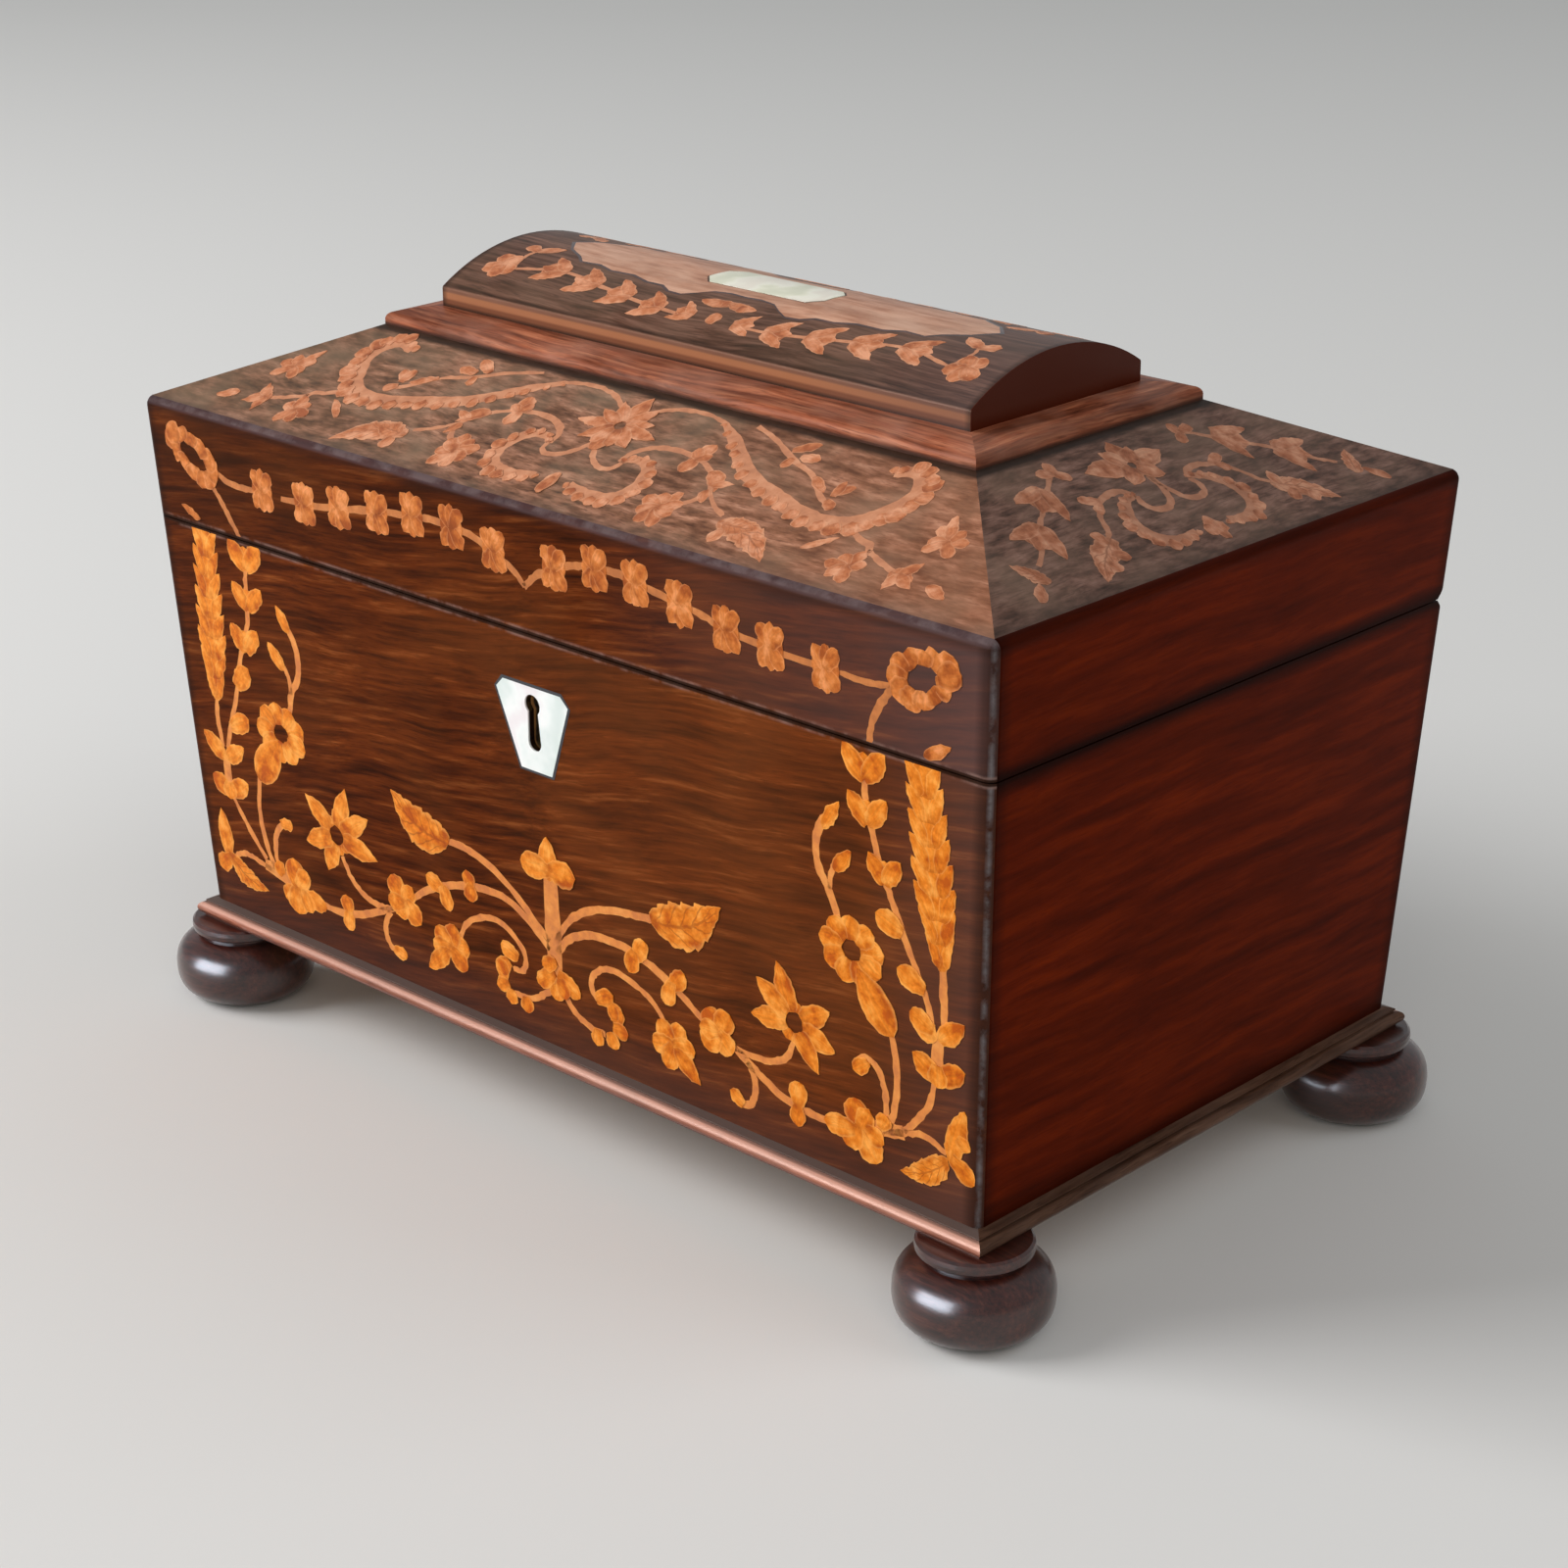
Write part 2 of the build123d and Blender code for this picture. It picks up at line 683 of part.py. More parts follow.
def turned_knob(x):
    """Knob with a peg through its panel: a ball-shaped head on a waisted neck and a foot ring."""
    crown_rise = knob_height - knob_shoulder
    crown_radius = (knob_head_foot_radius**2 + crown_rise**2) / (2 * crown_rise)
    with BuildPart() as knob:
        with BuildSketch(Plane.XZ):
            with BuildLine():
                stem = Polyline(
                    (0, -peg_length),
                    (peg_radius, -peg_length),
                    (peg_radius, 0),
                    (knob_foot_radius, 0),
                    (knob_foot_radius, knob_foot_height),
                )
                waist = Spline(
                    stem @ 1, (knob_neck_radius, knob_neck_height), (knob_head_foot_radius, knob_head_foot)
                )
                Spline(
                    waist @ 1,
                    (knob_radius, (knob_head_foot + knob_shoulder) / 2),
                    (knob_head_foot_radius, knob_shoulder),
                )
                crown_start = degrees(atan2(knob_shoulder - knob_height + crown_radius, knob_head_foot_radius))
                CenterArc((0, knob_height - crown_radius), crown_radius, crown_start, 90 - crown_start)
                Line((0, knob_height), stem @ 0)
            make_face()
        revolve(axis=Axis.Z)
    return Pos(x, 0, panel_top_z) * knob.part


for sign, hand in ((-1, "left"), (1, "right")):
    outer_blank = leaning_block(floor_z, foil_rim_z, foil_setback)
    inner_blank = leaning_block(floor_z + foil, foil_rim_z, foil_setback + foil)
    partition_face = divider_thickness / 2 + glue_gap
    outer = compartment_side(sign, outer_blank, partition_face, floor_z, foil_rim_z)
    inner = compartment_side(sign, inner_blank, partition_face + foil, floor_z + foil, foil_rim_z)
    with BuildPart() as foil_lining:
        add(outer)
        add(inner, mode=Mode.SUBTRACT)
    export(f"{hand}_foil_lining", foil_lining.part)

    panel_start = rail_half + panel_clearance
    panel_end = half_at("right", ledge_z, wall) - panel_clearance
    panel_x = sign * (panel_start + panel_end) / 2
    with BuildPart() as panel:
        with BuildSketch(Plane.XY.offset(ledge_z)):
            with Locations((panel_x, 0)):
                Rectangle(panel_end - panel_start, 2 * (half_at("back", ledge_z, wall) - panel_clearance))
        extrude(amount=panel_thickness)
        fillet(panel.faces().sort_by(Axis.Z)[-1].edges(), panel_edge)
        with BuildSketch(Plane.XY.offset(panel_top_z)):
            with Locations((panel_x, 0)):
                Circle(peg_radius + glue_gap)
        extrude(amount=-(peg_length + glue_gap), mode=Mode.SUBTRACT)
    export(f"{hand}_panel", panel.part)
    export(f"{hand}_knob", turned_knob(panel_x))


# ---- lock: back plate with its selvedge, pins and stumps ----
lock_outline_plane = Plane.XZ.offset(-cavity_y)
stump_places = (-lug_spacing / 2 + 1, lug_spacing / 2 + 1)
stump_z = rim_z - bolt_bar_drop - bolt_bar_height / 2
lock_screw = countersunk(lock_screw_head, lock_screw_radius, lock_screw_length)
lock_screw_space = countersunk(
    lock_screw_head + glue_gap, lock_screw_radius + glue_gap, lock_screw_length + glue_gap
)
with BuildPart() as lock_plate:
    with BuildSketch(Plane.XZ.offset(-plate_y)):
        with Locations((0, rim_z)):
            Rectangle(lock_width, lock_plate_height, align=(Align.CENTER, Align.MAX))
    extrude(amount=lock_plate_thickness)
    with BuildSketch(Plane.XY.offset(rim_z)):
        with Locations((0, plate_y)):
            Rectangle(lock_width, selvedge_depth, align=(Align.CENTER, Align.MAX))
    extrude(amount=-lock_plate_thickness)
    with BuildSketch(Plane.XY.offset(rim_z)):
        with Locations(*((x, bolt_y) for x in lug_places)):
            Rectangle(lug_thickness + 2 * lug_clearance, lug_width + 2 * lug_clearance)
    extrude(amount=-lock_plate_thickness, mode=Mode.SUBTRACT)
    with BuildSketch(lock_outline_plane):
        with Locations((0, pin_z)):
            Circle(drill_pin_radius)
    extrude(amount=cavity_depth + case_wall)
    with BuildSketch(lock_outline_plane):
        with Locations(*((x, stump_z) for x in stump_places)):
            Circle(stump_radius)
    extrude(amount=cavity_depth)
    with BuildSketch(lock_outline_plane):
        with Locations(*((x, stump_z) for x in stump_places)):
            Circle(stump_collar_radius)
    extrude(amount=cavity_y - bolt_y - bolt_thickness / 2 - stump_gap)
    for x, z in lock_screw_places:
        with Locations(Location((x, plate_y, z), (-90, 0, 0))):
            add(lock_screw_space, mode=Mode.SUBTRACT)
export("lock_plate", lock_plate.part)

with BuildPart() as lock_screws:
    for x, z in lock_screw_places:
        with Locations(Location((x, plate_y, z), (-90, 0, 0))):
            add(lock_screw)
export("lock_screws", lock_screws.part)

with BuildPart() as lock_case:
    with BuildSketch(lock_outline_plane):
        with Locations((0, selvedge_z)):
            Rectangle(case_width, case_height, align=(Align.CENTER, Align.MAX))
    extrude(amount=case_depth)
    with BuildSketch(lock_outline_plane):
        with Locations((0, selvedge_z)):
            Rectangle(case_width - 2 * case_wall, case_height - case_wall, align=(Align.CENTER, Align.MAX))
    extrude(amount=cavity_depth, mode=Mode.SUBTRACT)
    with BuildSketch(keyhole_plane):
        keyhole_outline()
    extrude(amount=case_depth, mode=Mode.SUBTRACT)
export("lock_case", lock_case.part)


# ---- bolt: a bridge over the key's path, two bars on the stumps and two fingers for the lugs ----
bar_top = rim_z - bolt_bar_drop
bar_foot = bar_top - bolt_bar_height
bridge_top = rim_z - bolt_bridge_drop
lug_half = lug_thickness / 2
left_tip = lug_places[0] - lug_half - tip_gap
right_tip = lug_places[1] - lug_half - tip_gap
left_post = lug_places[0] - lug_half - side_gap - bolt_throw
bridge_left = lug_places[0] + lug_half + side_gap
bridge_right = lug_places[1] - lug_half - side_gap - bolt_throw
stump_reach = stump_radius + stump_gap
bar_right = stump_places[1] + stump_reach + bolt_post
finger_half = lug_eye_height / 2 - bolt_play
tooth_spacing = talon_width + bolt_tooth
tooth_places = (-(bolt_throw + tooth_spacing) / 2, (tooth_spacing - bolt_throw) / 2)
with BuildPart() as lock_bolt:
    with BuildSketch(Plane.XZ.offset(-(bolt_y + bolt_thickness / 2))):
        with Locations((left_post - bolt_post, bar_foot)):
            Rectangle(bar_right - left_post + bolt_post, bolt_bar_height, align=(Align.MIN, Align.MIN))
            Rectangle(bolt_post, eye_middle_z + finger_half - bar_foot, align=(Align.MIN, Align.MIN))
        with Locations((bridge_left, bar_foot)):
            Rectangle(bridge_right - bridge_left, bridge_top - bar_foot, align=(Align.MIN, Align.MIN))
        with Locations((left_post - bolt_post, eye_middle_z)):
            Rectangle(left_tip - left_post + bolt_post, 2 * finger_half, align=(Align.MIN, Align.CENTER))
        with Locations((bridge_right, eye_middle_z)):
            Rectangle(right_tip - bridge_right, 2 * finger_half, align=(Align.MIN, Align.CENTER))
        with Locations((0, pin_z)):
            Circle(key_reach + side_gap, mode=Mode.SUBTRACT)
        with Locations(*((x, pin_z + key_reach - talon_depth) for x in tooth_places)):
            Rectangle(bolt_tooth, talon_depth + 2 * side_gap, align=(Align.CENTER, Align.MIN))
        for x in stump_places:
            with Locations((x - bolt_throw / 2, stump_z)):
                SlotOverall(bolt_throw + 2 * stump_reach, 2 * stump_reach, mode=Mode.SUBTRACT)
    extrude(amount=bolt_thickness)
export("lock_bolt", lock_bolt.part)

spring_foot = -case_width / 2 + case_wall + spring_thickness / 2
spring_contact_z = bar_foot - bolt_play - spring_thickness / 2
with BuildPart() as bolt_spring:
    with BuildSketch(Plane.XZ.offset(-(bolt_y + spring_width / 2))):
        with BuildLine():
            Line((spring_foot, rim_z - spring_drop), (spring_foot, spring_contact_z - spring_bend))
            RadiusArc(
                (spring_foot, spring_contact_z - spring_bend),
                (spring_foot + spring_bend, spring_contact_z),
                spring_bend,
            )
            Line(
                (spring_foot + spring_bend, spring_contact_z),
                (spring_foot + spring_bend + spring_tail, spring_contact_z),
            )
        trace(line_width=spring_thickness)
    extrude(amount=spring_width)
export("bolt_spring", bolt_spring.part)


# ---- lid: rim boards and veneers, slopes, plinth and arched top ----
link_screw = countersunk(lock_screw_head, lock_screw_radius, link_screw_length)
link_screw_space = countersunk(
    lock_screw_head + glue_gap, lock_screw_radius + glue_gap, link_screw_length + glue_gap
)
lid_front_blank = wall_piece("front", veneer, wall, lid_low_z, edge_z)
with BuildPart() as lid_front_board:
    add(lid_front_blank)
    trim(*(slope_plane(side, slope_board) for side in SIDES))
    with BuildSketch(Plane.XY.offset(lid_low_z)):
        with Locations((0, bolt_y)):
            Rectangle(link_plate_width + 2 * glue_gap, link_plate_depth + 2 * glue_gap)
    extrude(amount=link_plate_thickness, mode=Mode.SUBTRACT)
    with BuildSketch(Plane.XY.offset(lid_low_z)):
        with Locations((-link_screw_x, bolt_y), (link_screw_x, bolt_y)):
            Circle(lock_screw_radius + glue_gap)
    extrude(amount=link_screw_length + glue_gap, mode=Mode.SUBTRACT)
export("lid_front_board", lid_front_board.part)

lid_back_blank = let_in_hinges(wall_piece("back", veneer, wall, lid_low_z, edge_z), 1)
with BuildPart() as lid_back_board:
    add(lid_back_blank)
    trim(*(slope_plane(side, slope_board) for side in SIDES))
export("lid_back_board", lid_back_board.part)

for side in ("left", "right"):
    export(f"lid_{side}_board", side_piece(side, veneer, wall, lid_low_z, edge_z, 1))
    export(f"lid_{side}_veneer", side_piece(side, 0, veneer, lid_low_z, plinth_z, 1))
export("lid_front_veneer", wall_piece("front", 0, veneer, lid_low_z, plinth_z))
export("lid_back_veneer", let_in_hinges(wall_piece("back", 0, veneer, lid_low_z, plinth_z), 1))

for side in SIDES:
    out_x, out_y = SIDES[side]
    corner_signs = [(out_x or s, out_y or s) for s in (-1, 1)]
    slope_blank = leaning_block(edge_z - 2 * slope_board, plinth_z, veneer)
    with BuildPart() as slope:
        add(slope_blank)
        trim(slope_plane(side), *(hip_plane(sx, sy, side) for sx, sy in corner_signs))
        split(bisect_by=slope_plane(side, slope_board), keep=Keep.TOP)
    export(f"lid_{side}_slope", slope.part)


def plinth_profile(half_outer):
    """Half of the plinth's section: a lip, a rounded nose and a flat curve in to the arched top."""
    with BuildLine() as profile:
        Polyline((0, 0), (half_outer, 0), (half_outer, plinth_lip))
        nose = JernArc((half_outer, plinth_lip), (0, 1), plinth_nose, plinth_nose_turn)
        thumb = TangentArc(nose @ 1, (half_outer - plinth_run, plinth_height), tangent=nose % 1)
        Polyline(thumb @ 1, (0, plinth_height), (0, 0))
    return profile.line


long_profile = plinth_profile(plinth_depth / 2)
cross_profile = plinth_profile(plinth_width / 2)
with BuildPart() as plinth_moulding:
    with BuildSketch(Plane(origin=(0, 0, plinth_z), x_dir=(0, 1, 0), z_dir=(1, 0, 0))):
        make_face(long_profile)
        mirror(about=Plane.YZ)
    extrude(amount=plinth_width / 2, both=True)
    with BuildSketch(Plane(origin=(0, 0, plinth_z), x_dir=(1, 0, 0), z_dir=(0, -1, 0))):
        make_face(cross_profile)
        mirror(about=Plane.YZ)
    extrude(amount=plinth_depth, both=True, mode=Mode.INTERSECT)
export("plinth_moulding", plinth_moulding.part)

arch_radius = (dome_depth**2 / 4 + dome_rise**2) / (2 * dome_rise)
arch_centre_z = spring_line_z + dome_rise - arch_radius


def plaque_outline(margin):
    """Long plaque with clipped corners."""
    half_x, half_y = plaque_length / 2 + margin, plaque_depth / 2 + margin
    corners = [(half_x, half_y - plaque_corner), (half_x - plaque_corner, half_y)]
    upper = corners + [(-x, y) for x, y in reversed(corners)]
    Polygon(*upper, *((-x, -y) for x, y in upper), align=None)


with BuildPart() as cushion_top:
    with BuildSketch(Plane(origin=(0, 0, dome_z), x_dir=(0, 1, 0), z_dir=(1, 0, 0))):
        with BuildLine():
            band = Polyline(
                (-dome_depth / 2, dome_band),
                (-dome_depth / 2, 0),
                (dome_depth / 2, 0),
                (dome_depth / 2, dome_band),
            )
            ThreePointArc(band @ 1, (0, dome_band + dome_rise), band @ 0)
        make_face()
    extrude(amount=dome_width / 2, both=True)
    fillet(cushion_top.edges().filter_by(Axis.X).group_by(Axis.Z)[-1], dome_edge_wear)
with BuildPart() as plaque_space:
    with BuildSketch(Plane.XY.offset(spring_line_z)):
        plaque_outline(glue_gap)
    extrude(amount=2 * dome_rise)
    with Locations(Location((0, 0, arch_centre_z), (0, 90, 0))):
        Cylinder(arch_radius - veneer, dome_width, mode=Mode.SUBTRACT)
with BuildPart() as dome_with_recess:
    add(cushion_top.part)
    add(plaque_space.part, mode=Mode.SUBTRACT)
export("cushion_top", dome_with_recess.part)

with BuildPart() as plaque:
    with BuildSketch(Plane.XY.offset(spring_line_z)):
        plaque_outline(0)
    extrude(amount=2 * dome_rise)
    with Locations(Location((0, 0, arch_centre_z), (0, 90, 0))):
        Cylinder(arch_radius + pearl_proud, dome_width, mode=Mode.INTERSECT)
    with Locations(Location((0, 0, arch_centre_z), (0, 90, 0))):
        Cylinder(arch_radius - veneer + glue_gap, dome_width, mode=Mode.SUBTRACT)
export("plaque", plaque.part)


# ---- velvet pad inside the lid, just under the slopes ----
pad_half_y = half_at("back", edge_z, wall + pad_clearance)
pad_top_z = (
    edge_z
    - slope_board / cos(slope_pitch("back"))
    + (half_size("back") - pad_half_y) * tan(slope_pitch("back"))
    - pad_clearance
)
pad_blank = leaning_block(pad_top_z - pad_thickness, pad_top_z, wall + pad_clearance)
with BuildPart() as lid_pad:
    add(pad_blank)
    fillet(lid_pad.faces().sort_by(Axis.Z)[0].edges(), pad_edge)
export("lid_pad", lid_pad.part)


# ---- link plate in the lid, with two eyed lugs that hang into the lock ----
with BuildPart() as link_plate:
    with BuildSketch(Plane.XY.offset(lid_low_z)):
        with Locations((0, bolt_y)):
            Rectangle(link_plate_width, link_plate_depth)
    extrude(amount=link_plate_thickness)
    for x in lug_places:
        with BuildSketch(Plane.YZ.offset(x)):
            with Locations((bolt_y, lid_low_z)):
                Rectangle(lug_width, lug_drop, align=(Align.CENTER, Align.MAX))
            with Locations((bolt_y, eye_low_z)):
                Rectangle(lug_eye_width, lug_eye_height, align=(Align.CENTER, Align.MIN), mode=Mode.SUBTRACT)
        extrude(amount=lug_thickness / 2, both=True)
    for x in (-link_screw_x, link_screw_x):
        with Locations(Location((x, bolt_y, lid_low_z), (180, 0, 0))):
            add(link_screw_space, mode=Mode.SUBTRACT)
export("link_plate", link_plate.part)

with BuildPart() as link_plate_screws:
    for x in (-link_screw_x, link_screw_x):
        with Locations(Location((x, bolt_y, lid_low_z), (180, 0, 0))):
            add(link_screw)
export("link_plate_screws", link_plate_screws.part)
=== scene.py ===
import bpy
import json
from math import atan2, cos, hypot, pi, radians, sin, tan
from mathutils import Matrix, Vector, noise


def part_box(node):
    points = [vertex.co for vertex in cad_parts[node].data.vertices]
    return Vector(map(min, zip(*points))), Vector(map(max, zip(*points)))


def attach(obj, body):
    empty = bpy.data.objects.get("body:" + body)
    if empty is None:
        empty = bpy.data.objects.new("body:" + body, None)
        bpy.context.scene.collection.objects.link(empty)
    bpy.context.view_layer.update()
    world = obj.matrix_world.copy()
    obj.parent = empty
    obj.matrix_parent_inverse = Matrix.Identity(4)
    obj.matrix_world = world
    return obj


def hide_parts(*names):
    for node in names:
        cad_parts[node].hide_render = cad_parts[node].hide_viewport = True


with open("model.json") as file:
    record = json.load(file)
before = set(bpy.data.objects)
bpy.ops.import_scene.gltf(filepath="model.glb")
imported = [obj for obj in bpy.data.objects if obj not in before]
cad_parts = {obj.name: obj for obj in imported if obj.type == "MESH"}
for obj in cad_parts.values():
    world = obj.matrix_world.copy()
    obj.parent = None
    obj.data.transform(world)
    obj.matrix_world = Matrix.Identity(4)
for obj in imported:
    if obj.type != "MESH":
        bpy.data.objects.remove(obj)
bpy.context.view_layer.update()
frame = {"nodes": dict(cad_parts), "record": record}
bpy.ops.object.select_all(action="DESELECT")
mm = 0.001

caddy = {  # sizes that the inlay and the wear are laid out on, in mm
    "cant": 2.9, "lidHalfWidth": 115.0, "lidHalfDepth": 69.5, "lidEdgeHeight": 134.3, "jointHeight": 109.3,
    "slopeTop": 149.3, "plinthHalfWidth": 79.55, "plinthHalfDepth": 33.1, "domeSpring": 157.0, "domeRise": 7.2,
    "domeHalfDepth": 24.6, "bodyCut": 108.75, "lidCut": 110.0,
}
cantSlope = tan(radians(caddy["cant"]))


def linearColour(hexCode):
    values = [int(hexCode[i:i + 2], 16) / 255 for i in (1, 3, 5)]
    return (*[v / 12.92 if v <= 0.04045 else ((v + 0.055) / 1.055) ** 2.4 for v in values], 1)


def perMetre(sizeInMm):  # pattern scale that repeats once in that size
    return 1000 / sizeInMm


def addNode(tree, kind, inputs=None, stops=None, **settings):
    node = tree.nodes.new("ShaderNode" + kind)
    for name, value in settings.items():
        setattr(node, name, value)
    if stops:
        elements = node.color_ramp.elements
        while len(elements) < len(stops):
            elements.new(0.5)
        for element, (position, hexCode) in zip(elements, stops):
            element.position = position
            element.color = linearColour(hexCode)
    for name, value in (inputs or {}).items():
        if isinstance(value, bpy.types.Node):
            value = value.outputs[0]
        if isinstance(value, bpy.types.NodeSocket):
            tree.links.new(value, node.inputs[name])
        else:
            node.inputs[name].default_value = value
    return node


def newMaterial(name, roughness=0.4, **sockets):
    material = bpy.data.materials.new(name)
    material.use_nodes = True
    tree = material.node_tree
    tree.nodes.clear()
    shader = addNode(tree, "BsdfPrincipled", {"Roughness": roughness})
    for socket, value in sockets.items():
        shader.inputs[socket.replace("_", " ")].default_value = value
    addNode(tree, "OutputMaterial", {"Surface": shader})
    return material, tree, shader


def feed(tree, shader, **nodes):  # links each node to the shader's socket of that name
    for socket, node in nodes.items():
        tree.links.new(node.outputs[0], shader.inputs[socket.replace("_", " ")])


# camera at the viewer's place: front and right side, a little above; place in metres, angles in degrees
cameraPlace = {
    "location": (0.44505, -0.46866, 0.31379), "turn": 43.407, "tilt": 21.488, "roll": -0.129, "lens": 77.0,
    "sensor": 36, "nearest": 0.01,
}


def addCamera():
    bpy.ops.object.camera_add(location=cameraPlace["location"])
    camera = bpy.context.object
    turn, tilt = radians(cameraPlace["turn"]), radians(cameraPlace["tilt"])
    away = Vector((sin(turn) * cos(tilt), -cos(turn) * cos(tilt), sin(tilt)))
    camera.rotation_euler = (away.to_track_quat("Z", "Y").to_matrix().to_4x4()
                             @ Matrix.Rotation(radians(cameraPlace["roll"]), 4, "Z")).to_euler()
    camera.data.lens = cameraPlace["lens"]
    camera.data.sensor_width = cameraPlace["sensor"]
    camera.data.clip_start = cameraPlace["nearest"]
    bpy.context.scene.camera = camera


# a window at the front left, a weak fill at the front right and a weak lamp behind light the surfaces, and a low
# pane in front is seen in their gloss alone; places and sizes in metres
studio = {
    "floorSize": 16.0, "floorColour": "#dcdad5", "world": "#e9eef2", "worldStrength": 0.4, "aimHeight": 0.08,
    "lamps": {
        "window": {"place": (-1.25, -1.05, 1.0), "size": 1.2, "power": 35, "colour": "#fbfbff"},
        "fill": {"place": (1.3, -1.2, 1.1), "size": 1.4, "power": 8, "colour": "#fff6ec"},
        "back": {"place": (1.2, 0.95, 1.2), "size": 1.3, "power": 8, "colour": "#f2f6ff"},
        "pane": {"place": (-0.42, -1.6, 0.34), "size": 1.6, "power": 112, "colour": "#e6f0ff"},
    },
}


def addStudio():
    bpy.ops.mesh.primitive_plane_add(size=studio["floorSize"], location=(0, 0, 0))
    floor = bpy.context.object
    floor.name = "floor"
    # emulsion paint, rolled: evenly pale and matt, with the faint stipple of the roller, 1.5 mm from bump to bump
    material, tree, shader = newMaterial("rolledEmulsionPaint", 0.8, Specular_IOR_Level=0.0,
                                         Base_Color=linearColour(studio["floorColour"]))
    place = addNode(tree, "TexCoord").outputs["Object"]
    stipple = addNode(tree, "TexNoise", {"Vector": place, "Scale": perMetre(1.5), "Detail": 2})
    feed(tree, shader, Normal=addNode(tree, "Bump", {"Height": stipple, "Strength": 0.05, "Distance": 0.2 * mm}))
    floor.data.materials.append(material)
    for name, lamp in studio["lamps"].items():
        bpy.ops.object.light_add(type="AREA", location=lamp["place"])
        light = bpy.context.object
        light.name = name
        light.data.shape = "SQUARE"
        light.data.size = lamp["size"]
        light.data.energy = lamp["power"]
        light.data.color = linearColour(lamp["colour"])[:3]
        light.visible_glossy = name == "pane"
        light.visible_diffuse = name != "pane"
        light.visible_camera = False
        aim = Vector(lamp["place"]) - Vector((0, 0, studio["aimHeight"]))
        light.rotation_euler = aim.to_track_quat("Z", "Y").to_euler()
    world = bpy.data.worlds.new("studioAir")
    bpy.context.scene.world = world
    world.use_nodes = True
    backdrop = world.node_tree.nodes["Background"]
    backdrop.inputs["Color"].default_value = linearColour(studio["world"])
    backdrop.inputs["Strength"].default_value = studio["worldStrength"]
    bpy.context.scene.view_settings.view_transform = "Standard"


addCamera()
addStudio()
print("camera, floor and lights are in")


# woods; every pattern size is in mm, across the grain and then along it. Pores are drawn 0.35 mm wide, coarser than
# the real 0.2 mm, so that they show. A zone is a measure of the place, the distances in mm where the tint starts and
# is full, its colour and its share, and last a 1 if it is broken up in worn specks. Some zones are real wear and
# dirt, some are painted light and shade, as said at each
plainWood = {
    "streak": (1.1, 22), "band": (7, 90), "bandDepth": 0.35, "wander": (55, 7), "pore": (0.35, 5), "poreDepth": 0.5,
    "bloom": 26, "bloomDepth": 0.15, "turn": 0, "lean": 0, "shine": 0.15, "glow": "#ffffff", "coat": 0.0,
    "coatRoughness": 0.16, "bump": 0.12, "zones": (),
}
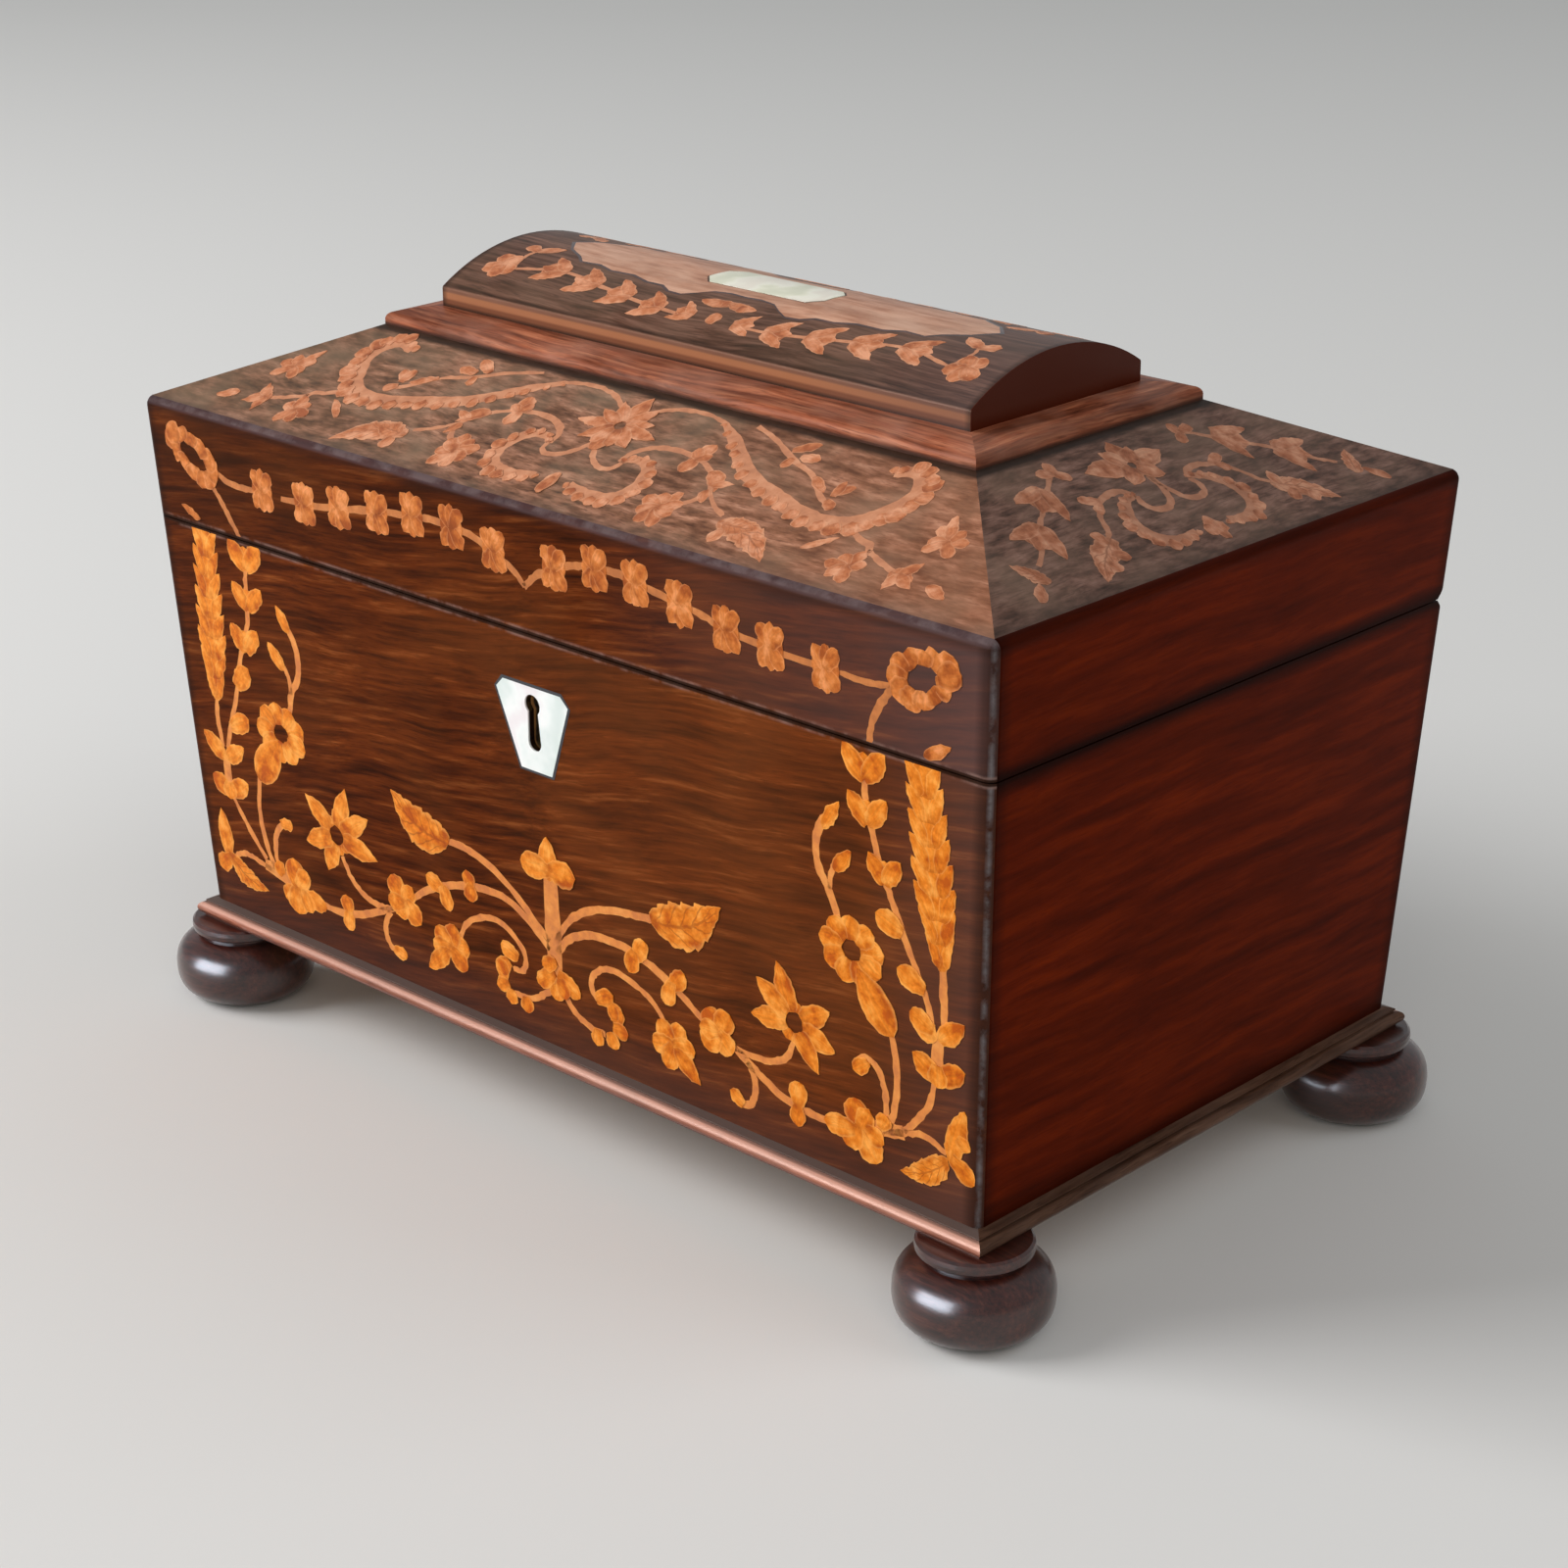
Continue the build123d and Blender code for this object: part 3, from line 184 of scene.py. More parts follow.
# uprights rubbed bare in specks and lighter there: wear and a painted highlight on their rounded corners. The pale
# edge under the joint between box and lid: wear and a painted highlight. The joint itself darkened: painted shade of
# its gap
edgeWearAndPaintedLight = (
    ("corner", -1.2, -0.5, "#7c787a", 0.85, 1), ("nearJoint", 1.3, 0.8, "#93746a", 0.6, 1),
    ("nearJoint", 0.8, 0.5, "#26140b", 0.92),
)
woods = {
    # Brazilian rosewood, saw-cut veneer, French polished and rubbed: warm brown with fine darker streaks that rise
    # a little to the right, a quiet gloss, and greyer where hands and dusters have thinned the polish. It is greyer
    # and darker towards the foot, a painted reflection, and its uprights and joint carry wear, painted highlights and
    # painted shade
    "frenchPolishedRosewoodVeneer": {
        "ground": ((0.3, "#2e1001"), (0.45, "#502006"), (0.57, "#662c0a"), (0.72, "#8c4b20")),
        "poreColour": "#200b02", "bloomColour": "#6e3c1a", "bloomDepth": 0.25, "roughness": (0.32, 0.42), "lean": 9,
        "glow": "#c08050", "shine": 0.04, "streak": (1.6, 26), "bandDepth": 0.26, "poreDepth": 0.36,
        "zones": (
            # the height zone is a painted reflection: greyer and darker from 36 mm down to 23 mm
            ("right", -25, 35, "#8e5430", 0.14), ("height", 36, 23, "#46302b", 0.55),
            ("right", 84, 113, "#54403c", 0.5), ("corner", -4, -2.2, "#1f100b", 0.55),
            *edgeWearAndPaintedLight,
        ),
    },
    # the same veneer on the ends, cut from a plainer piece: deep red-brown and nearly without figure. This copy is
    # on the right end, in the shade, and is brighter and redder than the left end's copy, which the window lights:
    # shaded and lit copies of one veneer. Both are darker in painted shade along the corners, at the foot, below the
    # top edge and round the joint
    "frenchPolishedRedRosewoodVeneer": {
        "ground": ((0.3, "#430f00"), (0.5, "#551500"), (0.7, "#681e00")), "poreColour": "#2c0700",
        "bloomColour": "#4a1500", "roughness": (0.3, 0.38), "turn": 90, "lean": 4, "shine": 0.03, "glow": "#b0400c",
        "bandDepth": 0.15, "poreDepth": 0.25, "streak": (2.6, 34),
        "zones": (
            # painted shade: along the corners, at the foot, below the top edge and round the joint
            ("corner", -5, -1, "#1c0602", 0.75), ("height", 27, 22.6, "#1c0602", 0.75),
            ("height", 131.4, 133.6, "#1c0a06", 0.6), ("nearJoint", 3.6, 0.6, "#0e0301", 0.9),
        ),
    },
    # rosewood veneer on the slopes, faded by the light from above: pinkish brown, hazy, its streaks still to be seen
    "fadedRosewoodVeneer": {
        "ground": ((0.3, "#40281c"), (0.45, "#775039"), (0.58, "#a17056"), (0.75, "#ca9678")),
        "poreColour": "#3a241c", "bloomColour": "#826d58", "bloomDepth": 0.6, "roughness": (0.34, 0.46),
        "streak": (1.8, 6), "lean": 0, "shine": 0.3, "glow": "#e0b090", "coat": 0.05, "bandDepth": 0.25, "bloom": 13,
        "pore": (0.35, 2.5),
        "zones": (
            ("right", 10, 105, "#b86e4a", 0.28), ("right", -20, -112, "#66543f", 0.42),
            # painted shade along the lid's edge, and a painted shadow line under the plinth
            ("height", 136.2, 134.8, "#54443c", 0.45), ("height", 148.25, 148.75, "#1c130d", 0.9),
        ),
    },
    # the same on the end slopes, greyer, the grey a painted reflection
    "fadedRosewoodEndVeneer": {
        "ground": ((0.3, "#35231a"), (0.45, "#5d4033"), (0.58, "#7a584a"), (0.75, "#967263")),
        "poreColour": "#2c1c14", "bloomColour": "#7c6453", "bloomDepth": 0.5, "roughness": (0.34, 0.46),
        "streak": (1.8, 5), "turn": 90, "shine": 0.3, "glow": "#e0b8a0", "coat": 0.05, "bandDepth": 0.2, "bloom": 14,
        # painted shade along the lid's edge, and a painted shadow line under the plinth
        "zones": (("height", 136.6, 134.8, "#2c2019", 0.7), ("height", 148.25, 148.75, "#1a120c", 0.9)),
    },
    # rosewood veneer bent over the arch: the fade of the slopes, its ends kept as red as the walls. Its upright band
    # under the arch has a painted shadow under the arch's edge, a pink and an orange painted highlight, and a darker
    # lower part and dark line above the plinth in painted shade
    "bentRosewoodVeneer": {
        "ground": ((0.3, "#352216"), (0.45, "#58392a"), (0.6, "#735040"), (0.8, "#8c6450")), "poreColour": "#261610",
        "bloomColour": "#786452", "bloomDepth": 0.3, "roughness": (0.3, 0.42), "shine": 0.2, "glow": "#d8b090",
        "bandDepth": 0.3,
        "zones": (
            # from the top down: painted shadow, pink and orange painted highlights, then painted shade and a painted
            # shadow line
            ("height", 157.7, 157.3, "#23150e", 0.6), ("height", 157.15, 156.8, "#94634c", 0.55),
            ("height", 156.2, 155.8, "#c07a4c", 0.5), ("height", 154.9, 154.4, "#5c2c1a", 0.7),
            ("height", 153.9, 153.3, "#1a0d08", 0.8), ("right", 30, 68, "#5c5050", 0.35),
            ("outX", 69.4, 70.6, "#20120c", 0.6), ("outX", 70.85, 70.95, "#421000", 0.97),
        ),
    },
    # kingwood panel, saw cut and polished: pale pinkish brown with soft cloudy figure
    "polishedKingwoodPanel": {
        "ground": ((0.3, "#a06848"), (0.5, "#c08a6c"), (0.75, "#d8a688")), "poreColour": "#7a4c3a",
        "bloomColour": "#dab8a0", "roughness": (0.34, 0.46), "bloomDepth": 0.35, "bloom": 12, "poreDepth": 0.25,
        "bandDepth": 0.15, "streak": (1.6, 10), "shine": 0.3, "coat": 0.05, "lean": 0,
    },
    # solid rosewood, turned on a lathe and polished: almost black brown with a purple cast, one soft window in its
    # gloss
    "turnedRosewood": {
        "ground": ((0.3, "#260f0b"), (0.55, "#451d14"), (0.8, "#603222")), "poreColour": "#120504",
        "bloomColour": "#5a4038", "bloomDepth": 0.25, "roughness": (0.28, 0.4), "coat": 1.0, "coatRoughness": 0.25,
        "shine": 0.3, "streak": (0.9, 12),
    },
    # solid rosewood strip, moulded with a scratch stock and polished: reddish brown nose under a dark bead. The nose
    # is brighter to the right, a painted highlight, and along its top, a rubbed edge and painted highlight both; it
    # is darker below, painted shade. The quirk over it is near black, painted shade, and the bead is painted greyer
    # for its sheen
    "mouldedRosewood": {
        "ground": ((0.3, "#6a3420"), (0.5, "#9a5a42"), (0.75, "#bc7a62")), "poreColour": "#42180c",
        "bloomColour": "#b89080", "bloomDepth": 0.2, "roughness": (0.28, 0.4), "shine": 0.65, "glow": "#f0c8b0",
        "bandDepth": 0.3,
        "zones": (
            # painted highlight to the right, painted shade low on the nose, wear and painted highlight on its top,
            # painted shade in the quirk, and the bead greyer for a painted sheen
            ("right", 20, 112, "#e09a80", 0.3), ("height", 19.5, 18.5, "#5c2419", 0.75),
            ("height", 19.9, 20.3, "#e8b8a4", 0.5), ("height", 20.6, 20.8, "#181110", 0.95),
            ("height", 20.95, 21.2, "#594b45", 0.85),
        ),
    },
    # the same wood for the plinth under the arch, browner
    "mouldedPlinth": {
        "ground": ((0.3, "#602c18"), (0.5, "#9a5438"), (0.72, "#c47c58")), "poreColour": "#42180c",
        "bloomColour": "#b88c78", "bloomDepth": 0.3, "bloom": 16, "roughness": (0.34, 0.44), "shine": 0.18,
        "glow": "#f0c0a0", "bandDepth": 0.4, "band": (3, 40), "mitre": (79.55, 33.1),
        "zones": (("height", 150.2, 149.6, "#24120e", 0.85), ("outX", 76, 79, "#4c281a", 0.2)),
    },
    # the moulding's wood along the ends: dull brown, the shaded copy of the front's moulding, its darkness painted
    # shade
    "mouldedRosewoodEnd": {
        "ground": ((0.3, "#301c12"), (0.5, "#4c3224"), (0.75, "#624636")), "poreColour": "#200e08",
        "bloomColour": "#6a5448", "bloomDepth": 0.3, "roughness": (0.3, 0.42), "turn": 90, "shine": 0.2,
        "glow": "#d8b090", "bandDepth": 0.25,
    },
    # mahogany, planed and waxed: the lighter red-brown of the parts inside, open pored, with a low sheen
    "waxedMahogany": {
        "ground": ((0.3, "#4a1f10"), (0.5, "#6e3319"), (0.75, "#8c4a26")), "poreColour": "#2c1008",
        "bloomColour": "#8a5230", "roughness": (0.38, 0.5), "coat": 0.1, "shine": 0.3, "streak": (1.4, 28),
        "pore": (0.3, 3),
    },
    # pine, sawn and left bare: dry yellow-brown, gone darker with age, quite matt
    "sawnAgedPine": {
        "ground": ((0.3, "#855a34"), (0.5, "#a27444"), (0.75, "#b58a58")), "poreColour": "#6a4524",
        "bloomColour": "#ac8458", "roughness": (0.6, 0.75), "poreDepth": 0.2, "streak": (2.4, 60), "band": (5, 120),
        "bump": 0.3,
    },
}

variants = {  # woods that are like another but for a few values
    # the front's veneer on the rim, greyed by hands at the right, darker a little below its top edge, with a painted
    # highlight, broken in specks, along the rounded top edge
    "rubbedRosewoodRimVeneer": ("frenchPolishedRosewoodVeneer", {"zones": (
        ("right", -30, -100, "#2a1204", 0.35), ("right", 15, 80, "#5e4540", 0.42), ("right", 84, 113, "#5e4e4e", 0.4),
        # darker below the top edge, then a painted highlight along the rounded top edge, speckled at its crest
        ("corner", -4, -2.2, "#1f100b", 0.55), ("height", 131.6, 133.2, "#241410", 0.55),
        ("height", 133.3, 133.8, "#54464a", 0.45), ("height", 133.8, 134.1, "#7c6d6c", 0.4, 1), *edgeWearAndPaintedLight)}),
    # the ends' veneer on the left end, which the window lights: darker and less red than the shaded right end's copy
    "frenchPolishedRosewoodEndVeneer": ("frenchPolishedRedRosewoodVeneer", {
        "ground": ((0.3, "#330f03"), (0.5, "#481905"), (0.7, "#5c2409")), "glow": "#b06030"}),
    # pine, stained dark where the back bevels show
    "stainedPine": ("sawnAgedPine", {"zones": (("depth", -6, -4.5, "#3c1e0e", 0.85),)}),
    # the same pine with its grain across the box, for the boards at the ends
    "sawnAgedPineAcross": ("sawnAgedPine", {"turn": 90}),
}
woods.update({name: {**woods[like], **change} for name, (like, change) in variants.items()})


def tintZones(tree, place, colour, zones):  # paints each zone over the colour, in turn
    x, y, z = addNode(tree, "SeparateXYZ", {0: place}).outputs
    outX, outY = [addNode(tree, "Math", {0: side}, operation="ABSOLUTE") for side in (x, y)]
    edgeIn = caddy["lidEdgeHeight"] * mm * cantSlope
    leanIn = addNode(tree, "Math", {0: z, 1: -cantSlope, 2: edgeIn}, operation="MULTIPLY_ADD")
    fromEnd, fromFront = [
        addNode(tree, "Math", {0: addNode(tree, "Math", {0: out, 1: leanIn}, operation="ADD"), 1: half * mm},
                operation="SUBTRACT")
        for out, half in ((outX, caddy["lidHalfWidth"]), (outY, caddy["lidHalfDepth"]))]
    offJoint = addNode(tree, "Math", {0: z, 1: caddy["jointHeight"] * mm}, operation="SUBTRACT")
    measures = {
        "right": x, "height": z, "outX": outX, "depth": fromFront,
        "corner": addNode(tree, "Math", {0: fromEnd, 1: fromFront}, operation="MINIMUM"),
        "nearJoint": addNode(tree, "Math", {0: offJoint}, operation="ABSOLUTE"),
    }
    # specks, where wear shows and where the painted highlights break up, come in clusters 5 mm across
    specks = addNode(tree, "TexNoise", {"Vector": place, "Scale": perMetre(5), "Detail": 5, "Roughness": 0.65})
    through = addNode(tree, "MapRange", {"Value": specks, "From Min": 0.4, "From Max": 0.62})
    for measure, start, full, tint, share, *speckled in zones:
        mask = addNode(tree, "MapRange", {"Value": measures[measure], "From Min": start * mm, "From Max": full * mm,
                                          "To Max": share})
        if speckled:
            mask = addNode(tree, "Math", {0: mask, 1: through}, operation="MULTIPLY")
        colour = addNode(tree, "MixRGB", {0: mask, 1: colour, 2: linearColour(tint)})
    return colour


def polishedWood(name, change):
    look = {**plainWood, **change}
    smoothest, dullest = look["roughness"]
    material, tree, shader = newMaterial(
        name, smoothest, IOR=1.5, Specular_IOR_Level=look["shine"], Specular_Tint=linearColour(look["glow"]),
        Coat_Weight=look["coat"], Coat_Roughness=look["coatRoughness"])
    place = addNode(tree, "TexCoord").outputs["Object"]
    lean, turn = radians(look["lean"]), radians(look["turn"])
    turned = addNode(tree, "Mapping", {"Vector": place, "Rotation": (0, lean, turn)})
    if "mitre" in look:  # one piece of wood along the sides and another, mitred, along the ends
        outward = addNode(tree, "VectorMath", {0: place}, operation="ABSOLUTE")
        out = addNode(tree, "VectorMath", {0: outward, 1: [half * mm for half in look["mitre"]] + [0]},
                      operation="SUBTRACT")
        outX, outY = addNode(tree, "SeparateXYZ", {0: out}).outputs[:2]
        onEnd = addNode(tree, "Math", {0: outX, 1: outY}, operation="GREATER_THAN")
        sideways = addNode(tree, "Mapping", {"Vector": place, "Rotation": (0, 0, radians(90))})
        turned = addNode(tree, "MixRGB", {0: onEnd, 1: turned, 2: sideways})
    every, sway = look["wander"]  # the grain wanders by so much, once in so long
    bend = addNode(tree, "TexNoise", {"Vector": turned, "Scale": perMetre(every), "Detail": 2})
    grain = addNode(tree, "VectorMath", {0: bend.outputs["Color"], 1: [sway * mm] * 3, 2: turned},
                    operation="MULTIPLY_ADD")

    def along(size, detail):  # noise drawn out along the grain
        across = perMetre(size[0])
        stretch = addNode(tree, "Mapping", {"Vector": grain, "Scale": (perMetre(size[1]), across, across)})
        return addNode(tree, "TexNoise", {"Vector": stretch, "Scale": 1, "Detail": detail, "Roughness": 0.6})

    streak, band, pore = along(look["streak"], 5), along(look["band"], 2), along(look["pore"], 1)
    ground = addNode(tree, "ValToRGB", {"Fac": streak}, stops=look["ground"])
    bandTone = addNode(tree, "MapRange", {"Value": band, "From Min": 0.62, "From Max": 0.38,
                                          "To Min": 1 - look["bandDepth"], "To Max": 1.05})
    banded = addNode(tree, "MixRGB", {0: 1.0, 1: ground, 2: bandTone}, blend_type="MULTIPLY")
    poreMask = addNode(tree, "MapRange", {"Value": pore, "From Min": 0.56, "From Max": 0.68,
                                          "To Max": look["poreDepth"]})
    pored = addNode(tree, "MixRGB", {0: poreMask, 1: banded, 2: linearColour(look["poreColour"])})
    cloud = addNode(tree, "TexNoise", {"Vector": place, "Scale": perMetre(look["bloom"]), "Detail": 3})
    bloom = addNode(tree, "MapRange", {"Value": cloud, "From Min": 0.42, "From Max": 0.7,
                                       "To Max": look["bloomDepth"]})
    colour = addNode(tree, "MixRGB", {0: bloom, 1: pored, 2: linearColour(look["bloomColour"])})
    gloss = addNode(tree, "MapRange", {"Value": cloud, "From Min": 0.3, "From Max": 0.7,
                                       "To Min": smoothest, "To Max": dullest})
    fine = addNode(tree, "Bump", {"Height": pore, "Strength": look["bump"], "Distance": 0.1 * mm})
    wave = addNode(tree, "Bump", {"Height": cloud, "Strength": 0.06, "Distance": 1.2 * mm, "Normal": fine})
    feed(tree, shader, Base_Color=tintZones(tree, place, colour, look["zones"]), Roughness=gloss, Normal=wave,
         Coat_Normal=wave)
    return material


made = {name: polishedWood(name, look) for name, look in woods.items()}

metals = {  # colour, dull colour, roughness, and the brush stroke's width and length in mm
    # cast brass, filed and gone brown: warm yellow with dark clouds
    "agedCastBrass": ("#bf9550", "#92703a", 0.36, (0.4, 20)),
    # wrought steel, filed and oiled: grey with brown-black clouds of old rust
    "agedFiledSteel": ("#8d8880", "#4a443d", 0.42, (0.4, 20)),
    # tin foil, beaten and burnished onto board: soft pale grey with broad rubbed strokes
    "rubbedTinFoil": ("#a9a69e", "#76716a", 0.48, (1.4, 66)),
}


def filedMetal(name, colour, dull, roughness, stroke):
    material, tree, shader = newMaterial(name, roughness, Metallic=1.0)
    place = addNode(tree, "TexCoord").outputs["Object"]
    # tarnish lies in clouds 4 mm across; file strokes are drawn 0.4 mm wide, coarser than real, so that they show
    cloud = addNode(tree, "TexNoise", {"Vector": place, "Scale": perMetre(4), "Detail": 5})
    tone = addNode(tree, "ValToRGB", {"Fac": cloud}, stops=((0.35, dull), (0.62, colour)))
    across = perMetre(stroke[0])
    strokes = addNode(tree, "Mapping", {"Vector": place, "Scale": (perMetre(stroke[1]), across, across)})
    brushed = addNode(tree, "TexNoise", {"Vector": strokes, "Scale": 1, "Detail": 3})
    rough = addNode(tree, "MapRange", {"Value": brushed, "To Min": roughness - 0.08, "To Max": roughness + 0.12})
    bump = addNode(tree, "Bump", {"Height": brushed, "Strength": 0.15, "Distance": 0.1 * mm})
    feed(tree, shader, Base_Color=tone, Roughness=rough, Normal=bump)
    return material


made.update({name: filedMetal(name, *values) for name, values in metals.items()})

pearls = {  # tints from band to band, and zones of dirt
    # mother-of-pearl, sawn and polished: cold white with faint grey-green and pink bands under a high gloss, and
    # near-black brown on the walls of the keyhole, from 0.15 mm behind its face
    "sawnMotherOfPearl": (("#dfe9e4", "#eef4f0", "#f7f9f6", "#f2ecec"), (("depth", -0.15, -0.35, "#1c0d06", 1.0),)),
    # the same, thinned and yellowed by handling: cream with a green cast
    "yellowedMotherOfPearl": (("#e0dfc4", "#efecd2", "#f8f4e0", "#f2e9d6"), ()),
}
pearlBands = {"width": 14, "bendEvery": 11, "sway": 0.02}  # in mm as in a large shell, and a share of the noise


def polishedPearl(name, tints, zones):
    material, tree, shader = newMaterial(name, 0.22, IOR=1.6, Specular_IOR_Level=0.3, Coat_Weight=0.2,
                                         Coat_Roughness=0.12)
    place = addNode(tree, "TexCoord").outputs["Object"]
    bend = addNode(tree, "TexNoise", {"Vector": place, "Scale": perMetre(pearlBands["bendEvery"]), "Detail": 3})
    mixed = addNode(tree, "MixRGB", {0: pearlBands["sway"], 1: place, 2: bend.outputs["Color"]})
    waveScale = perMetre(pearlBands["width"]) * pi / 10  # at scale 1 a wave repeats every pi / 10
    band = addNode(tree, "TexWave", {"Vector": mixed, "Scale": waveScale, "Distortion": 5, "Detail": 3})
    tint = addNode(tree, "ValToRGB", {"Fac": band}, stops=tuple(zip((0.0, 0.35, 0.65, 1.0), tints)))
    bump = addNode(tree, "Bump", {"Height": band, "Strength": 0.05, "Distance": 0.3 * mm})
    feed(tree, shader, Base_Color=tintZones(tree, place, tint, zones), Normal=bump)
    return material


made.update({name: polishedPearl(name, *values) for name, values in pearls.items()})

finishes = {  # the CAD nodes whose finish isn't their slot's usual one
    "frenchPolishedRosewoodEndVeneer": ("left_veneer", "lid_left_veneer"),
    "frenchPolishedRedRosewoodVeneer": ("right_veneer", "lid_right_veneer"),
    "rubbedRosewoodRimVeneer": ("lid_front_veneer", "lid_back_veneer"),
    "fadedRosewoodVeneer": ("lid_front_slope", "lid_back_slope"),
    "fadedRosewoodEndVeneer": ("lid_left_slope", "lid_right_slope"),
    "bentRosewoodVeneer": ("cushion_top",), "mouldedPlinth": ("plinth_moulding",),
    "mouldedRosewood": ("base_moulding_front", "base_moulding_back"),
    "mouldedRosewoodEnd": ("base_moulding_left", "base_moulding_right"),
    "yellowedMotherOfPearl": ("plaque",), "stainedPine": ("back_board", "lid_back_board"),
    "sawnAgedPineAcross": ("left_board", "right_board", "lid_left_board", "lid_right_board", "left_lining",
                           "right_lining", "divider"),
}
slotFinishes = {
    "rosewood_veneer": "frenchPolishedRosewoodVeneer", "rosewood": "turnedRosewood", "mahogany": "waxedMahogany",
    "pine": "sawnAgedPine", "brass": "agedCastBrass", "steel": "agedFiledSteel", "tin_foil": "rubbedTinFoil",
    "mother_of_pearl": "sawnMotherOfPearl", "velvet": "waxedMahogany",  # the plain velvet solid is replaced below
}


def finishCadNodes():
    slots = {part["node"]: part["material_slot"] for part in frame["record"]["subparts"]}
    chosen = {node: finish for finish, nodes in finishes.items() for node in nodes}
    for name, node in frame["nodes"].items():
        finish = made[chosen.get(name, slotFinishes[slots[name]])]
        if not node.material_slots:
            node.data.materials.append(finish)
        for slot in node.material_slots:
            slot.material = finish


finishCadNodes()
print("woods, metals and pearl are on")


inlay = {  # in mm: how proud the first cut stands and each further one, its thickness, and the saw's wander
    "proud": 0.012, "step": 0.0008, "thickness": 0.12, "waverRun": 1.1, "waverReach": 0.34, "cutLineReach": 0.4,
    "waverSeed": 1,  # gives the same wander in every run
    "tones": 23,  # the number in a cut's UV gives it one of so many tones, and a stem has that number itself
    "stemUv": (23.55, 0.62),
}
inlayLooks = {  # colours of the maple from dark to pale, its scorch, its pale rim (a painted highlight), its stems and its glow
    # sycamore maple, stained, shaded in hot sand and let in: orange gold, browner where the sand was hot
    "sandShadedMapleInlay": {
        "ground": ((0.34, "#be560c"), (0.45, "#dc7616"), (0.55, "#ec8a28"), (0.68, "#fca648")), "scorch": "#8a360a",
        "scorchDepth": 0.55, "rim": "#ffb862", "stem": "#d8935c", "glow": "#f0a050"},
    # the same on the rim, where the stain has kept more red
    "redStainedMapleInlay": {
        "ground": ((0.34, "#9c4a18"), (0.45, "#bc6426"), (0.55, "#cf7836"), (0.68, "#e89458")), "scorch": "#6e2e0c",
        "scorchDepth": 0.55, "rim": "#f4a468", "stem": "#c08050", "glow": "#f0a870"},
    # the same on the lid, bleached by the light: pinkish tan
    "fadedMapleInlay": {
        "ground": ((0.34, "#a45c3a"), (0.45, "#bf744b"), (0.55, "#cd855e"), (0.68, "#e09e78")), "scorch": "#74422c",
        "scorchDepth": 0.45, "rim": "#eab088", "stem": "#ca9270", "glow": "#e8b89c"},
    # the same on the end slopes: duller
    "dulledMapleInlay": {
        "ground": ((0.34, "#8e5338"), (0.45, "#a7694a"), (0.55, "#b67a5c"), (0.68, "#c89070")), "scorch": "#5c3420",
        "scorchDepth": 0.5, "rim": "#ca9474", "stem": "#a87a60", "glow": "#d8a88c"},
}


